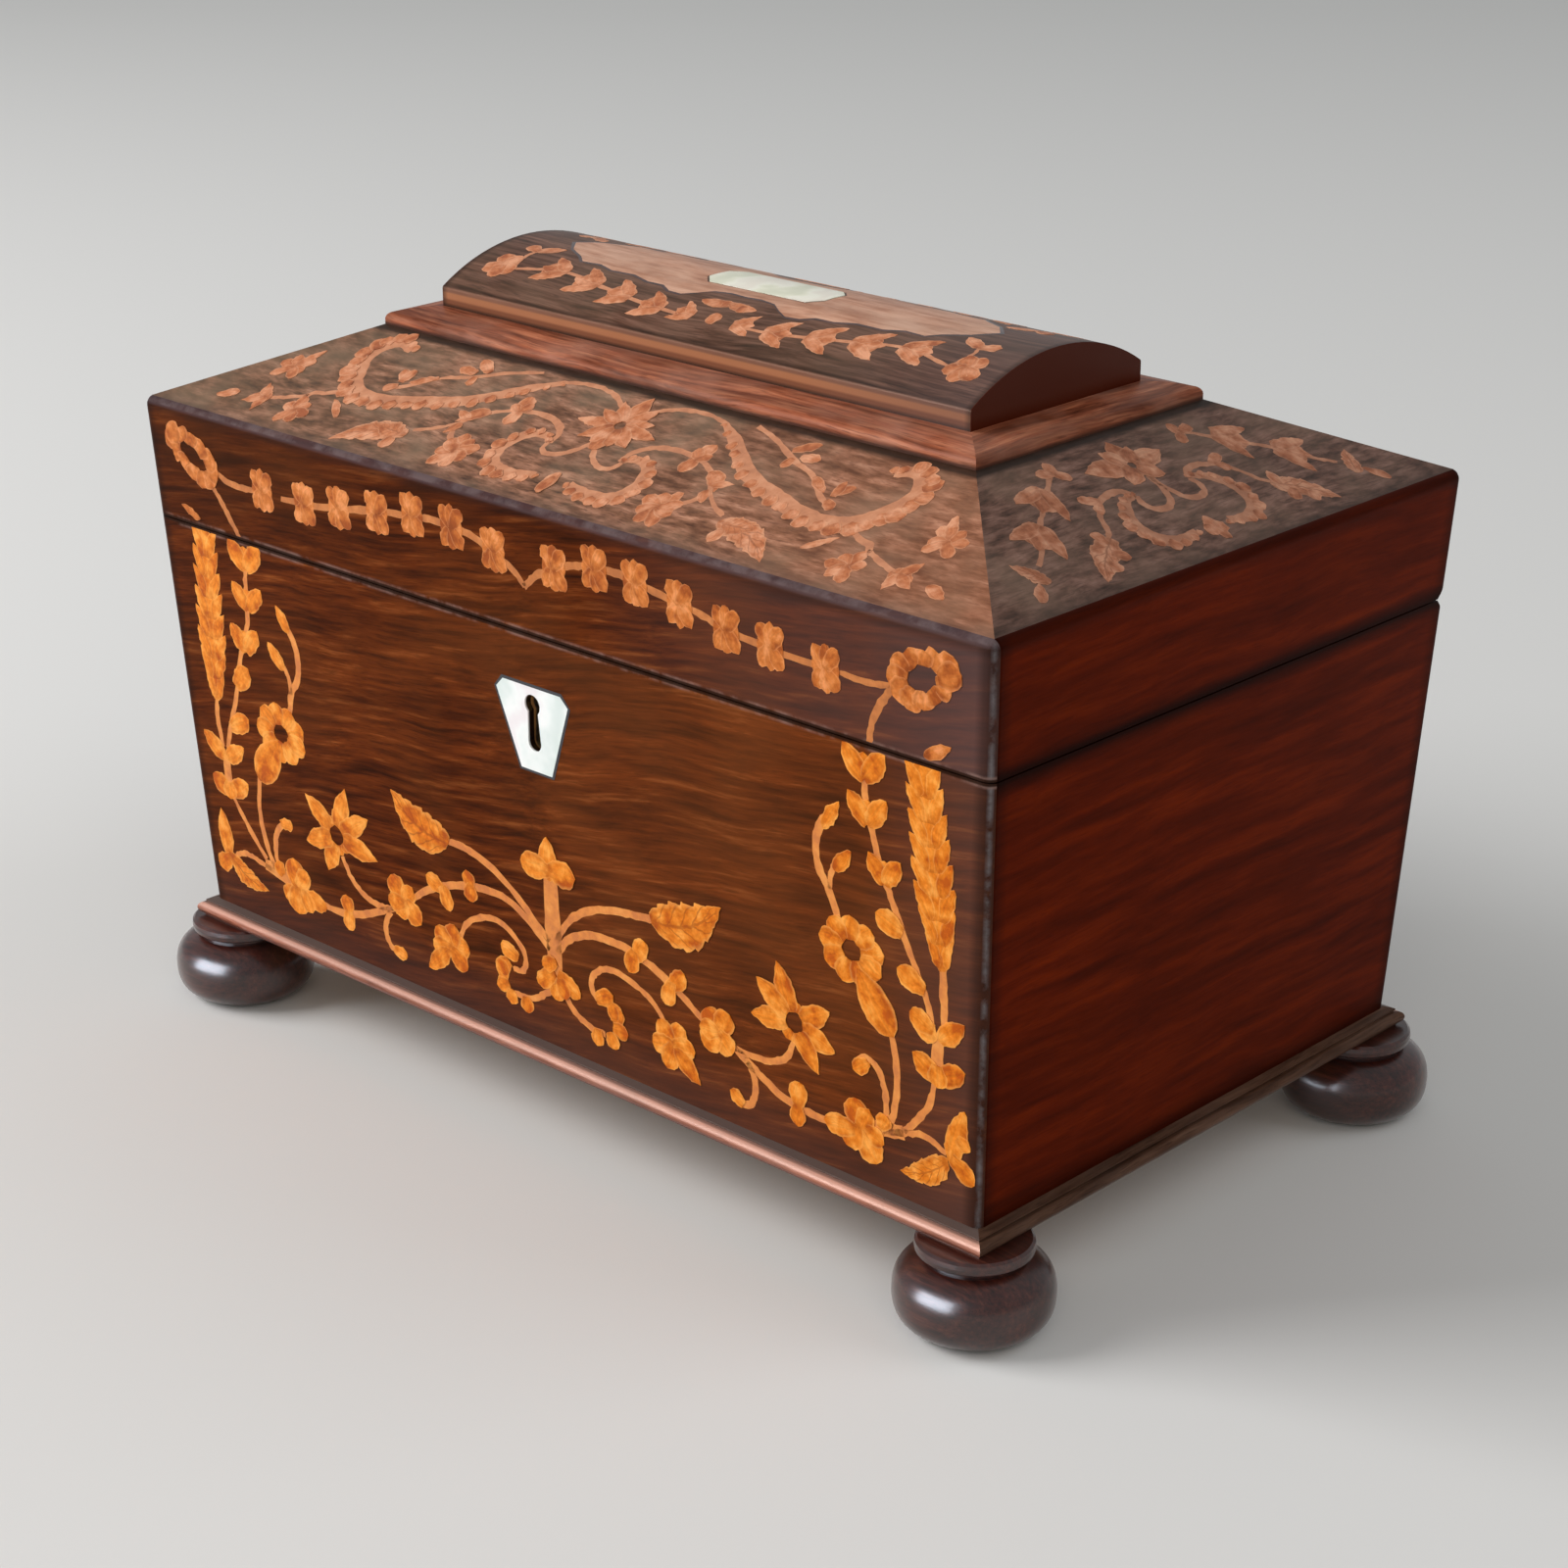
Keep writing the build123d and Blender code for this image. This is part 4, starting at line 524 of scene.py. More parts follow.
def inlayMaterial(name, look):  # the UV map holds each cut's number and vein flag, and the place along and across it
    material, tree, shader = newMaterial(name, 0.38, IOR=1.5, Specular_IOR_Level=0.25,
                                         Specular_Tint=linearColour(look["glow"]))
    alongUv, acrossUv = addNode(tree, "SeparateXYZ", {0: addNode(tree, "UVMap", uv_map="UVMap")}).outputs[:2]
    along, across = [addNode(tree, "Math", {0: part}, operation="FRACT") for part in (alongUv, acrossUv)]
    number, veined = [addNode(tree, "Math", {0: part}, operation="FLOOR") for part in (alongUv, acrossUv)]
    place = addNode(tree, "TexCoord").outputs["Object"]
    # the wood is mottled every 3.2 mm
    mottle = addNode(tree, "TexNoise", {"Vector": place, "Scale": perMetre(3.2), "Detail": 3, "Roughness": 0.6})
    tone = addNode(tree, "TexWhiteNoise", {"W": number}, noise_dimensions="1D")
    shift = addNode(tree, "MapRange", {"Value": tone, "To Min": -0.06, "To Max": 0.06})
    lightness = addNode(tree, "Math", {0: mottle, 1: shift}, operation="ADD")
    body = addNode(tree, "ValToRGB", {"Fac": lightness}, stops=look["ground"])
    # nine fibres across a cut of 4 to 8 mm, so 0.5 to 0.9 mm each, coarser than the real 0.1 mm so that they show
    flow = addNode(tree, "CombineXYZ", {0: along, 1: across, 2: number})
    fibreSpace = addNode(tree, "Mapping", {"Vector": flow, "Scale": (1.6, 9, 1)})
    fibre = addNode(tree, "TexNoise", {"Vector": fibreSpace, "Scale": 1, "Detail": 3})
    fibreTone = addNode(tree, "MapRange", {"Value": fibre, "From Min": 0.3, "From Max": 0.7, "To Min": 0.84,
                                           "To Max": 1.08})
    lined = addNode(tree, "MixRGB", {0: 1.0, 1: body, 2: fibreTone}, blend_type="MULTIPLY")
    # the scorch of the sand: at the foot of each cut and along one side, in patches
    footShade = addNode(tree, "MapRange", {"Value": along, "From Min": 0.34, "From Max": 0.0},
                        interpolation_type="SMOOTHSTEP")
    sideShade = addNode(tree, "MapRange", {"Value": across, "From Min": 0.4, "From Max": 0.1, "To Max": 0.6},
                        interpolation_type="SMOOTHSTEP")
    shade = addNode(tree, "Math", {0: footShade, 1: sideShade}, operation="MAXIMUM")
    patch = addNode(tree, "MapRange", {"Value": mottle, "From Min": 0.62, "From Max": 0.38, "To Min": 0.3,
                                       "To Max": 0.9})
    scorch = addNode(tree, "Math", {0: shade, 1: patch}, operation="MULTIPLY")
    # a leaf's veins: a midrib, and six slanting ribs in 13 to 20 mm, so 2 to 3 mm apart
    fromMiddle = addNode(tree, "Math", {0: across, 1: 0.5}, operation="SUBTRACT")
    offMiddle = addNode(tree, "Math", {0: fromMiddle}, operation="ABSOLUTE")
    slant = addNode(tree, "Math", {0: offMiddle, 1: -0.5, 2: along}, operation="MULTIPLY_ADD")
    ribTurn = addNode(tree, "Math", {0: slant, 1: 38}, operation="MULTIPLY")
    ribs = addNode(tree, "Math", {0: ribTurn}, operation="SINE")
    ribLine = addNode(tree, "MapRange", {"Value": ribs, "From Min": 0.8, "From Max": 1.0})
    midrib = addNode(tree, "MapRange", {"Value": offMiddle, "From Min": 0.05, "From Max": 0.02})
    allRibs = addNode(tree, "Math", {0: ribLine, 1: midrib}, operation="MAXIMUM")
    vein = addNode(tree, "Math", {0: allRibs, 1: veined}, operation="MULTIPLY")
    dark = addNode(tree, "Math", {0: scorch, 1: vein}, operation="MAXIMUM")
    share = addNode(tree, "Math", {0: dark, 1: look["scorchDepth"]}, operation="MULTIPLY")
    scorched = addNode(tree, "MixRGB", {0: share, 1: lined, 2: linearColour(look["scorch"])})
    isStem = addNode(tree, "MapRange", {"Value": number, "From Min": inlay["tones"] - 0.6,
                                        "From Max": inlay["tones"] - 0.4, "To Max": 0.5})
    stemmed = addNode(tree, "MixRGB", {0: isStem, 1: scorched, 2: linearColour(look["stem"])})
    # a pale rim along both edges of each cut: a painted highlight
    rim = addNode(tree, "MapRange", {"Value": offMiddle, "From Min": 0.36, "From Max": 0.48, "To Max": 0.4})
    colour = addNode(tree, "MixRGB", {0: rim, 1: stemmed, 2: linearColour(look["rim"])})
    bump = addNode(tree, "Bump", {"Height": mottle, "Strength": 0.1, "Distance": 0.1 * mm})
    feed(tree, shader, Base_Color=colour, Normal=bump)
    return material


made.update({name: inlayMaterial(name, look) for name, look in inlayLooks.items()})


cutShapes = {  # belly: under 1 is widest near the foot; point: over 1 is sharper; foot: width kept at the foot
    "lobe": {"belly": 1.35, "point": 0.6, "foot": 0.5}, "petal": {"belly": 0.85, "point": 0.95, "foot": 0.62},
    "bud": {"belly": 0.85, "point": 0.75, "foot": 0.12},
    # a leaf has teeth, so deep as a share of its width, and veins
    "leaf": {"belly": 0.75, "point": 0.85, "foot": 0.16, "teeth": 6, "depth": 0.16, "veined": 1},
    "grain": {"belly": 0.8, "point": 1.1, "foot": 0.35}, "bow": {"belly": 1.1, "point": 0.7, "foot": 0.45},
}


def carveCuts():  # one flat cut of each kind, from its foot at the origin to its point at x 1
    patterns = {}
    for name, shape in cutShapes.items():
        teeth = shape.get("teeth", 0)
        bpy.ops.mesh.primitive_grid_add(x_subdivisions=8 * teeth or 14, y_subdivisions=4, size=1)
        pattern = bpy.context.object
        for vertex in pattern.data.vertices:
            t = min(max(vertex.co.x + 0.5, 0), 1)
            if 0 < t < 0.999:
                width = shape["foot"] * (1 - t) ** 3 + sin(pi * t ** shape["belly"]) ** shape["point"]
            else:
                width = shape["foot"] * (1 - round(t))
            if teeth:
                width *= 1 - shape["depth"] * (t * teeth % 1)
            vertex.co = (t, vertex.co.y * min(width, 1), 0)
        patterns[name] = pattern
    return patterns


# a cut is its kind, the place of its foot across and up, the angle it points to, its length and width, and its bend
def lobes(*rows):
    return [("lobe", *row) for row in rows]


def toward(x, y, tip):  # the angle and the distance to a tip
    return atan2(tip[1] - y, tip[0] - x) * 180 / pi, hypot(tip[0] - x, tip[1] - y)


def crossFlower(x, y, width=7.2, height=9.2):
    cuts = [("lobe", x, y, 180 * side, width * 0.44, height * 0.5) for side in (0, 1)]
    for rise in (-1, 1):
        for spread in (-1, 0, 1):
            angle, length = toward(0, 0, (spread * width * 0.4, rise * height * (0.5 if spread == 0 else 0.43)))
            cuts.append(("lobe", x, y, angle, length, width * (0.46 if spread else 0.4)))
    return cuts


def starFlower(x, y, tips, eye=2.1, width=4.7):
    cuts = ringFlower(x, y, eye, eye + 2.4, 9)
    for tip in tips:
        angle, length = toward(x, y, tip)
        foot = x + eye * cos(radians(angle)), y + eye * sin(radians(angle))
        cuts.append(("petal", *foot, angle, length - eye, width))
    return cuts


def ringFlower(x, y, eye, reach, count, start=0, tall=1.0):
    cuts = []
    for i in range(count):
        angle = start + 360 * i / count
        c, s = cos(radians(angle)), sin(radians(angle)) * tall
        cuts.append(("lobe", x + eye * c, y + eye * s, atan2(s, c) * 180 / pi, hypot(c, s) * (reach - eye),
                     2.2 * pi * reach * 0.8 / count))
    return cuts


def hollowLeaf(x, y, angle, reach, width, eye, count=12):
    lean, cuts = radians(angle), []
    for i in range(count):
        turn = 2 * pi * (i + 0.5) / count
        inner = eye[0] * cos(turn), eye[1] * sin(turn)
        outer = reach * cos(turn) * (1.12 if cos(turn) > 0.9 else 1), width * sin(turn) * (1 - 0.25 * cos(turn))
        heading, length = toward(*inner, outer)
        x1 = x + inner[0] * cos(lean) - inner[1] * sin(lean)
        y1 = y + inner[0] * sin(lean) + inner[1] * cos(lean)
        cuts.append(("lobe", x1, y1, heading + angle, length, 1.5 * 2 * pi * (reach + width) / 2 / count))
    return cuts


def wheatEar(foot, top, rows, width):
    angle, length = toward(*foot, top)
    lean = radians(angle)
    cuts = [("grain", *foot, angle, length * 0.3, width * 0.4)]
    for i in range(rows):
        along = length * (i + 0.1) / rows
        belly = min(1, 0.66 + 0.2 * i) - 0.3 * max(0, i / rows - 0.35)
        x, y = foot[0] + along * cos(lean), foot[1] + along * sin(lean)
        cuts.append(("lobe", x, y, angle, width * 0.72, width * 0.62 * belly))
        for side in (-1, 1):
            out = side * width * 0.13 * belly
            cuts.append(("bud", x - out * sin(lean), y + out * cos(lean), angle + side * 27 * belly, width * 0.74,
                         width * 0.34 * belly, side * -0.06))
    return cuts


def heart(x, y, width, height):
    cuts = [("lobe", x, y - height * 0.5, 90, height * 0.74, height * 0.7)]
    for side in (-1, 1):
        angle, length = toward(0, -height * 0.5, (side * width * 0.46, height * 0.36))
        cuts.append(("bow", x, y - height * 0.5, angle, length, height * 0.66))
    return cuts


def husk(x, y, angle, size):
    wings = [("bud", x, y, angle + turn, size * reach, size * wide)
             for turn, reach, wide in ((0, 0.98, 0.5), (33, 1.12, 0.4), (-33, 1.12, 0.4))]
    return [("lobe", x, y, angle, size * 0.86, size * 0.9)] + wings


def spray(x, y, eye, rows):  # cuts of several kinds round one place
    return [(kind, x + eye * cos(radians(angle)), y + eye * sin(radians(angle)), angle, length, width)
            for kind, angle, length, width in rows]


def bothSides(stems, cuts):  # the right half as drawn, and its mirror image
    otherStems = [[width, [(-x, y) for x, y in points]] for width, points in stems]
    otherCuts = [(kind, -x, y, 180 - angle, length, width, *[-bend for bend in bends])
                 for kind, x, y, angle, length, width, *bends in cuts]
    return stems + otherStems, cuts + otherCuts


def curvePoint(points, s):  # place on a smooth line through the points, s counted in points
    i = min(int(s), len(points) - 2)
    before, start, end, after = [Vector(points[max(0, min(len(points) - 1, k))]) for k in (i - 1, i, i + 1, i + 2)]
    t = s - i
    return ((start * 2 + (end - before) * t + (before * 2 - start * 5 + end * 4 - after) * t ** 2
             + (start * 3 - before - end * 3 + after) * t ** 3) / 2)


def garland(points, widths, count, outer):  # band with a plain inner side and lobes all along its outer side
    cuts = []
    for i in range(count):
        s = i / (count - 1) * (len(points) - 1)
        here, ahead = curvePoint(points, s), curvePoint(points, min(s + 0.05, len(points) - 1))
        back = curvePoint(points, max(s - 0.05, 0))
        heading = atan2(ahead.y - back.y, ahead.x - back.x) * 180 / pi
        k = min(int(s), len(widths) - 2)
        width = widths[k] + (widths[k + 1] - widths[k]) * (s - k)
        cuts.append(("lobe", here.x, here.y, heading + outer * (52 + 16 * (i % 2)), width * (0.6 + 0.1 * (i % 3)),
                     max(width * 0.8, 1.6)))
    return [[[width * 0.92 for width in widths], points]], cuts


# the ornament, drawn flat in mm as across and up: the front and the rim from the middle line and the floor, and the
# right half of the lid's slopes and arch from their lower edge and from the top line. A stem is its width and the
# points it runs through
frontStems = [
    [1.5, [(-100.7, 71), (-101.2, 66), (-100.4, 60)]],
    [1.4, [(-85.8, 104), (-86.6, 98), (-87, 92), (-88.8, 87), (-90.8, 82.5), (-93.6, 73.5), (-97.2, 64.5),
        (-98.8, 60)]],
    [3.2, [(-99.8, 58.5), (-99.6, 51)]],
    [1.4, [(-98.6, 48.6), (-94, 42.2), (-89.3, 36.8)]],
    [1.5, [(-88.4, 57), (-89.8, 48.5), (-88.6, 40.2), (-86.4, 35)]],
    [1.5, [(-85.6, 37), (-85.4, 42), (-83, 46.2), (-79.3, 47)]],
    [1.7, [(-76.2, 73), (-74.6, 78.5), (-72.3, 82), (-71.4, 87), (-72.9, 91.5), (-75, 94)]],
    [1.3, [(-75, 78), (-75, 81.5), (-76.6, 84.5)]],
    [1.3, [(-101.5, 33), (-98.8, 35.2), (-96, 36), (-92, 35.4), (-87, 34.5)]],
    [3.4, [(-90, 35.4), (-84, 34.4), (-79, 32.5)]],
    [1.7, [(-73, 31.5), (-66, 31.4), (-60, 32.5), (-54, 34.8), (-47, 38)]],
    [1.5, [(-63, 45), (-60.4, 40.5), (-57, 38), (-52, 36.9), (-47.5, 37.6)]],
    [1.4, [(-48.6, 36.5), (-50.3, 34), (-50.7, 31), (-49.6, 28.6), (-47.2, 27.9)]],
    [1.7, [(-41, 41.8), (-36, 45.3), (-30, 48), (-24, 49.8), (-18, 50.8), (-11.8, 50.5), (-6, 47.8), (0, 43)]],
    [1.7, [(-30, 58.2), (-25, 58.4), (-20, 57.7), (-11.8, 54.2), (-6, 50), (0, 45)]],
    [1.4, [(-27.8, 36), (-25, 40.8), (-20, 44), (-15.2, 44.8), (-10.5, 42.8), (-7.6, 39.3), (-8.4, 36),
        (-11.5, 35.4)]],
    [1.5, [(2, 37), (-2.5, 32.6), (-6.5, 30.4), (-11.5, 30)]],
    [1.9, [(102.4, 72), (102.2, 66), (102.5, 59)]],
    [1.5, [(85, 104), (85.3, 98), (86.4, 94), (87.9, 88), (90, 82.7), (92.2, 78), (94.2, 73), (96.4, 68.5),
        (98.7, 63), (99.6, 57)]],
    [3.3, [(100.8, 58), (100.4, 51)]],
    [1.5, [(99.8, 48.8), (98.6, 44), (95.6, 39.5), (92, 35.8)]],
    [1.6, [(89.5, 56), (90.8, 48), (90.3, 41), (88.6, 35)]],
    [1.5, [(87.9, 36), (87.8, 42.5), (86, 46.6), (83.2, 47.6), (81.2, 46.4)]],
    [1.8, [(78, 73), (75.8, 78.5), (73.5, 82.5), (72.9, 87), (74.4, 91.5), (77.6, 95)]],
    [1.3, [(75.9, 79), (76.7, 83), (78.8, 86)]],
    [1.4, [(87, 34), (92, 35.4), (97, 36.6), (102, 35)]],
    [3.4, [(92, 35.4), (86, 34.2), (80, 32)]],
    [1.8, [(75, 31.3), (69, 31.3), (63, 32), (58.5, 33.8), (54.5, 36), (48, 39.5)]],
    [1.5, [(65.6, 45), (63.5, 41), (60, 39), (56, 38.3), (50, 38.5)]],
    [1.6, [(52.8, 37.4), (54.9, 33.5), (54.7, 29.5), (52.6, 27.2), (50.2, 27.4)]],
    [1.8, [(2, 43), (6, 47.3), (11, 49.7), (17, 50.5), (23, 50.2), (29, 48.5), (35, 45.8), (42, 41.5)]],
    [1.7, [(2, 45.5), (6, 51), (11, 54.7), (18, 57.2), (25, 58.2), (31.5, 58.9)]],
    [1.4, [(32.8, 35), (29, 40.5), (24, 43), (18, 44.2), (13.5, 42.8), (11.4, 39.5), (12.8, 36.6), (16, 36.4)]],
    [1.5, [(2, 36.5), (6, 31.5), (10.5, 29.5), (14.5, 29.3)]],
    [4.6, [(1.3, 34), (1.3, 48), (1.4, 60)]],
]
frontCuts = [
    *wheatEar((-100.7, 70.4), (-98.9, 107), 8, 9.9),
    ("bud", -99.8, 57.2, 144, 8.6, 4.6), ("bud", -99.6, 57.2, 33, 7.6, 4.4),
    ("bow", -99.6, 49.4, 152, 6.4, 4.8), ("bow", -99.4, 49.4, 30, 7.4, 4.6), ("lobe", -99.6, 52, 268, 4.2, 4.6),
    *heart(-85.8, 106.4, 11, 7), *heart(-86.3, 97.2, 10.2, 6.2), *heart(-88.6, 87.5, 9.6, 6.4),
    *lobes((-93.4, 75.4, 46, 6.8, 5.2), (-96.8, 65.2, 27, 7.2, 4.8)),
    *ringFlower(-79.6, 68.2, 2.3, 8.1, 9, 20, tall=0.85), ("bud", -88.8, 55.4, 53, 13.4, 7.8),
    ("bud", -73.6, 92, 122, 6.2, 3.0), ("bud", -76.2, 83.2, 134, 7, 3.4),
    ("lobe", -83, 46.8, 8, 4.2, 2.8),
    ("bud", -102.4, 33.4, 96, 11.4, 4.6), ("lobe", -101.8, 33.6, 215, 5.6, 4.4),
    ("leaf", -102, 34.2, 338, 13.4, 5.2, -0.12),
    *lobes((-84, 34.4, 120, 3.6, 3.6), (-79.4, 33, 95, 6.6, 6.4), (-79, 33, 52, 5.8, 4.6), (-80, 32, 215, 4.6, 5),
        (-79.6, 33, 268, 6.4, 6.6), (-78, 32, 352, 8.2, 4.4), (-77.6, 32.6, 300, 5, 4.6)),
    *lobes((-62.4, 32, 98, 4.2, 4.2), (-62.4, 32.6, 262, 4.6, 3.8)),
    *starFlower(-64.2, 49.4, ((-73.4, 56.4), (-60, 61), (-53.4, 56), (-51.6, 47.2), (-68.2, 40.4), (-74.6, 45.4))),
    *lobes((-43.8, 40.4, 128, 6.4, 5.4), (-43.8, 40.4, 55, 4.6, 4.6), (-43.6, 40.4, 318, 6, 5.4),
        (-43.8, 40.4, 238, 4.6, 4.8), (-44, 40, 188, 5, 4.4)),
    ("lobe", -48.6, 28.2, 350, 4.2, 3),
    *lobes((-31.4, 46.8, 158, 5, 4), (-31.2, 47.8, 288, 5.6, 4), (-22.4, 49.6, 106, 4, 3.6),
        (-22.4, 50.6, 262, 4, 3.8)),
    ("leaf", -28.2, 58, 157, 18.4, 9.6, 0.14),
    *[("lobe", -30, 34, angle, 5.8, 4.8) for angle in (20, 78, 140, 190, 320)], ("bud", -30.6, 33.6, 222, 9.4, 4.2),
    *lobes((-9.6, 38.2, 160, 5.4, 3.8), (-12.6, 36.8, 225, 4.6, 4.2), (-14.4, 32, 95, 4, 3.6),
        (-13, 31.6, 200, 3.8, 3.4), (-12.2, 30.6, 262, 3.4, 3.6), (-8.4, 30.2, 285, 3.6, 3.6),
        (-13.4, 33.4, 130, 3.4, 3.4)),
    *wheatEar((102.2, 71), (98.8, 107), 8, 10.2),
    ("bud", 100.6, 57, 152, 6.6, 4.6), ("bud", 101, 57, 40, 7.8, 4.4),
    ("bow", 100.6, 49.4, 150, 6.8, 4.8), ("bow", 100.6, 49.4, 28, 7.2, 4.6), ("lobe", 100.5, 52, 270, 4.4, 4.6),
    *heart(85.1, 106, 10.6, 6.8), *heart(85.6, 97.4, 9.8, 6.4), *heart(89.2, 86.9, 8, 6),
    *lobes((93, 75.4, 158, 6.6, 5), (98, 66, 160, 6.8, 4.8), (99.8, 58.6, 158, 6, 4.6)),
    *ringFlower(80.8, 68.4, 2.3, 7.9, 9, 12, tall=0.88), ("bud", 90.2, 54.2, 127, 14, 7.6),
    ("bud", 74.6, 90.6, 55, 7.4, 3.0), ("bud", 77.2, 83, 50, 6.4, 3.2),
    ("lobe", 84, 47, 215, 4.6, 3.4),
    ("bud", 103, 33.6, 72, 12, 4.8), *lobes((104.8, 39, 330, 3.4, 3), (103.4, 34.6, 325, 6.6, 4.2)),
    ("leaf", 102.6, 33.6, 208, 13, 5.6, 0.1),
    *lobes((86.4, 34.4, 60, 3.6, 3.6), (81.4, 32.4, 100, 6.4, 6), (81.4, 32.4, 62, 5.6, 4.4),
        (82, 32.6, 300, 7, 6.4), (81, 33, 240, 5.8, 5.6), (80.4, 32, 186, 8, 4.6), (83, 33, 340, 4.6, 4.4)),
    *lobes((66, 31.8, 84, 5.2, 4.6), (66, 32, 268, 4.4, 4)),
    *starFlower(66, 49.1, ((62, 60.6), (75, 54.2), (76, 46), (71.6, 40.4), (55, 47.6), (56.6, 55.6))),
    *lobes((46, 40.4, 128, 5.4, 5.6), (46, 40.6, 55, 5.6, 5.2), (46, 40.4, 312, 5.2, 5.4), (46, 40.4, 226, 5.8, 5.6),
        (46, 40.4, 182, 4.8, 4.4)),
    ("lobe", 52, 27, 150, 4, 3.2),
    *lobes((24.6, 48.8, 62, 5.4, 4.2), (24.4, 50.6, 250, 5.4, 4), (34, 45.8, 48, 5.6, 4.2), (34.2, 47.2, 250, 6, 4)),
    ("leaf", 29.4, 58.6, 24, 20.6, 10, -0.12),
    *[("lobe", 33.6, 33.4, angle, 5.8, 4.8) for angle in (60, 130, 190, 250, 5)], ("bud", 34, 33, 318, 8.6, 4.4),
    *lobes((12.6, 36.4, 25, 5.4, 3.8), (16.4, 36.8, 312, 4.4, 4.2), (17.4, 32.6, 60, 4.2, 3.6),
        (17, 31.8, 352, 4.2, 3.6), (16, 30.4, 292, 3.8, 3.6), (12.6, 29.8, 262, 3.6, 3.6),
        (17.6, 33.6, 100, 3.2, 3.2)),
    ("bud", 1.3, 58.4, 90, 9.4, 5.4), *lobes((1.4, 60.6, 180, 8.2, 5.6), (1.4, 60.8, 2, 7.4, 5.8)),
    *lobes((1, 38.4, 216, 6.4, 4), (2, 38.6, 330, 7, 4.2), (1.6, 41, 206, 4.4, 3.6), (1.8, 36, 252, 3.6, 4),
        (2.4, 37.6, 292, 4.4, 4.2)),
]
rimStems = [
    [1.5, [(-92, 122.8), (-89.8, 121.6), (-85, 121), (-80, 121.2)]],
    [1.4, [(-94.6, 119.8), (-91.6, 116.6), (-89, 113), (-86.6, 109.8)]],
    [1.5, [(-71.5, 121.3), (-64.2, 121.7), (-53.3, 123), (-41.6, 124.9), (-31, 126), (-26, 126.6), (-19.6, 126.4),
        (-13, 125.6), (-7.9, 123.6), (-3, 121.6), (0.2, 118.8)]],
    [1.5, [(0.1, 118.8), (3.8, 121.8), (8.6, 124.2), (14, 126), (19.7, 126.8), (25, 127.1), (30.3, 126.4),
        (41.5, 124.9), (47, 124), (53, 122.6), (63.7, 121.6), (76.8, 121)]],
    [1.4, [(80, 121.2), (86, 120.9), (91.5, 121.6)]],
    [1.6, [(92.4, 121.6), (89.4, 117.8), (87.2, 113.6), (86.4, 109.8)]],
]
rimFlowers = (
    (-77.5, 121.8), (-64.2, 121.7), (-53.3, 123.1), (-41.6, 124.6), (-31, 126.4), (-19.6, 126.3), (-7.9, 124.3),
    (8.6, 124.3), (19.7, 126.7), (30.3, 126.2), (41.5, 124.8), (53, 122.7), (63.7, 122), (76.8, 121.2),
)
rimCuts = [cut for x, y in rimFlowers for cut in crossFlower(x, y)]
rimCuts += hollowLeaf(-99.6, 124.8, 152, 8.6, 4.8, (5, 1.7)) + hollowLeaf(99, 124.8, 24, 8.4, 5.2, (3.7, 2.2))
rimCuts += [("bud", -99.4, 111, 158, 6.4, 1.8), ("bud", 99, 110.6, 28, 6.8, 2.6)]

slopeStems = [
    [1.2, [(0.6, 20), (2.4, 17), (6, 14.6), (9.4, 15), (10.2, 17.4)]],
    [1.4, [(9.4, 17), (10, 20), (12.6, 22.2), (17.6, 23.4), (24, 23)]],
    [1.2, [(24, 23), (29, 21), (33.4, 17.2), (33.4, 13.6), (31, 11), (28, 9)]],
    [1.0, [(34, 16), (38, 13), (42, 11.2)]],
    [1.1, [(3, 30), (6, 32), (11, 33.6), (17, 33.8), (22, 32.8)]],
    [1.1, [(29, 34), (36, 31.8), (44, 28), (50, 26), (57, 21), (61, 19.6)]],
    [1.3, [(67, 17.2), (72, 14.4), (75.8, 13), (75.6, 9)]],
    [1.2, [(75.8, 12.4), (80, 10.8), (85, 9)]],
]
slopeCuts = [
    *lobes((24, 22.6, 78, 4.6, 3.6), (24, 23, 268, 4.6, 3.4), (24.4, 22.6, 130, 3.4, 2.6), (24.4, 22.6, 30, 3, 2.4)),
    ("grain", 30, 20.6, 318, 7, 3.4, 0.1), ("grain", 33, 17.4, 20, 4.6, 2), ("grain", 33, 16, 300, 4, 2.2),
    *[("lobe", 27.6, 9, angle, reach, 3.2) for angle, reach in ((70, 5.2), (112, 4.2), (158, 5.4), (205, 4.4),
        (252, 5), (300, 5.6), (345, 4.4), (28, 5))],
    ("leaf", 42.6, 9.8, 338, 17.4, 6, 0.1), ("leaf", 44, 9.4, 4, 7, 5), ("lobe", 45, 8, 262, 3.4, 3),
    *lobes((41, 30.4, 32, 5.6, 2.6), (44, 29.4, 4, 4.8, 2.4), (43, 28.6, 262, 3, 2.2)), ("bow", 51, 25.6, 330, 6, 2),
    *lobes((57.6, 22.6, 40, 4.6, 2.4), (58.6, 22, 96, 4.4, 2.4), (58, 21, 330, 3.4, 2.2)),
    ("bud", 63, 9, 40, 7, 1.8),
    *[("lobe", 74.8, 7.8, angle, reach, 2.8) for angle, reach in ((20, 4), (76, 4.6), (132, 3.6), (186, 4.6),
        (238, 4), (300, 4.6))],
    ("leaf", 84, 9.2, 350, 5.6, 4.4), ("grain", 86, 9.4, 262, 4.6, 2.6), ("grain", 86, 9, 60, 4.6, 2.6),
    ("grain", 86, 9, 330, 5, 2.4),
    *[("lobe", 88, 18.8, angle, reach, 2.6) for angle, reach in ((10, 4.6), (62, 4), (140, 5), (190, 3.6),
        (230, 4.4), (316, 5))],
    ("bud", 88, 19.4, 118, 6.6, 2.4), ("bud", 93, 8.6, 336, 5.6, 2.6),
]
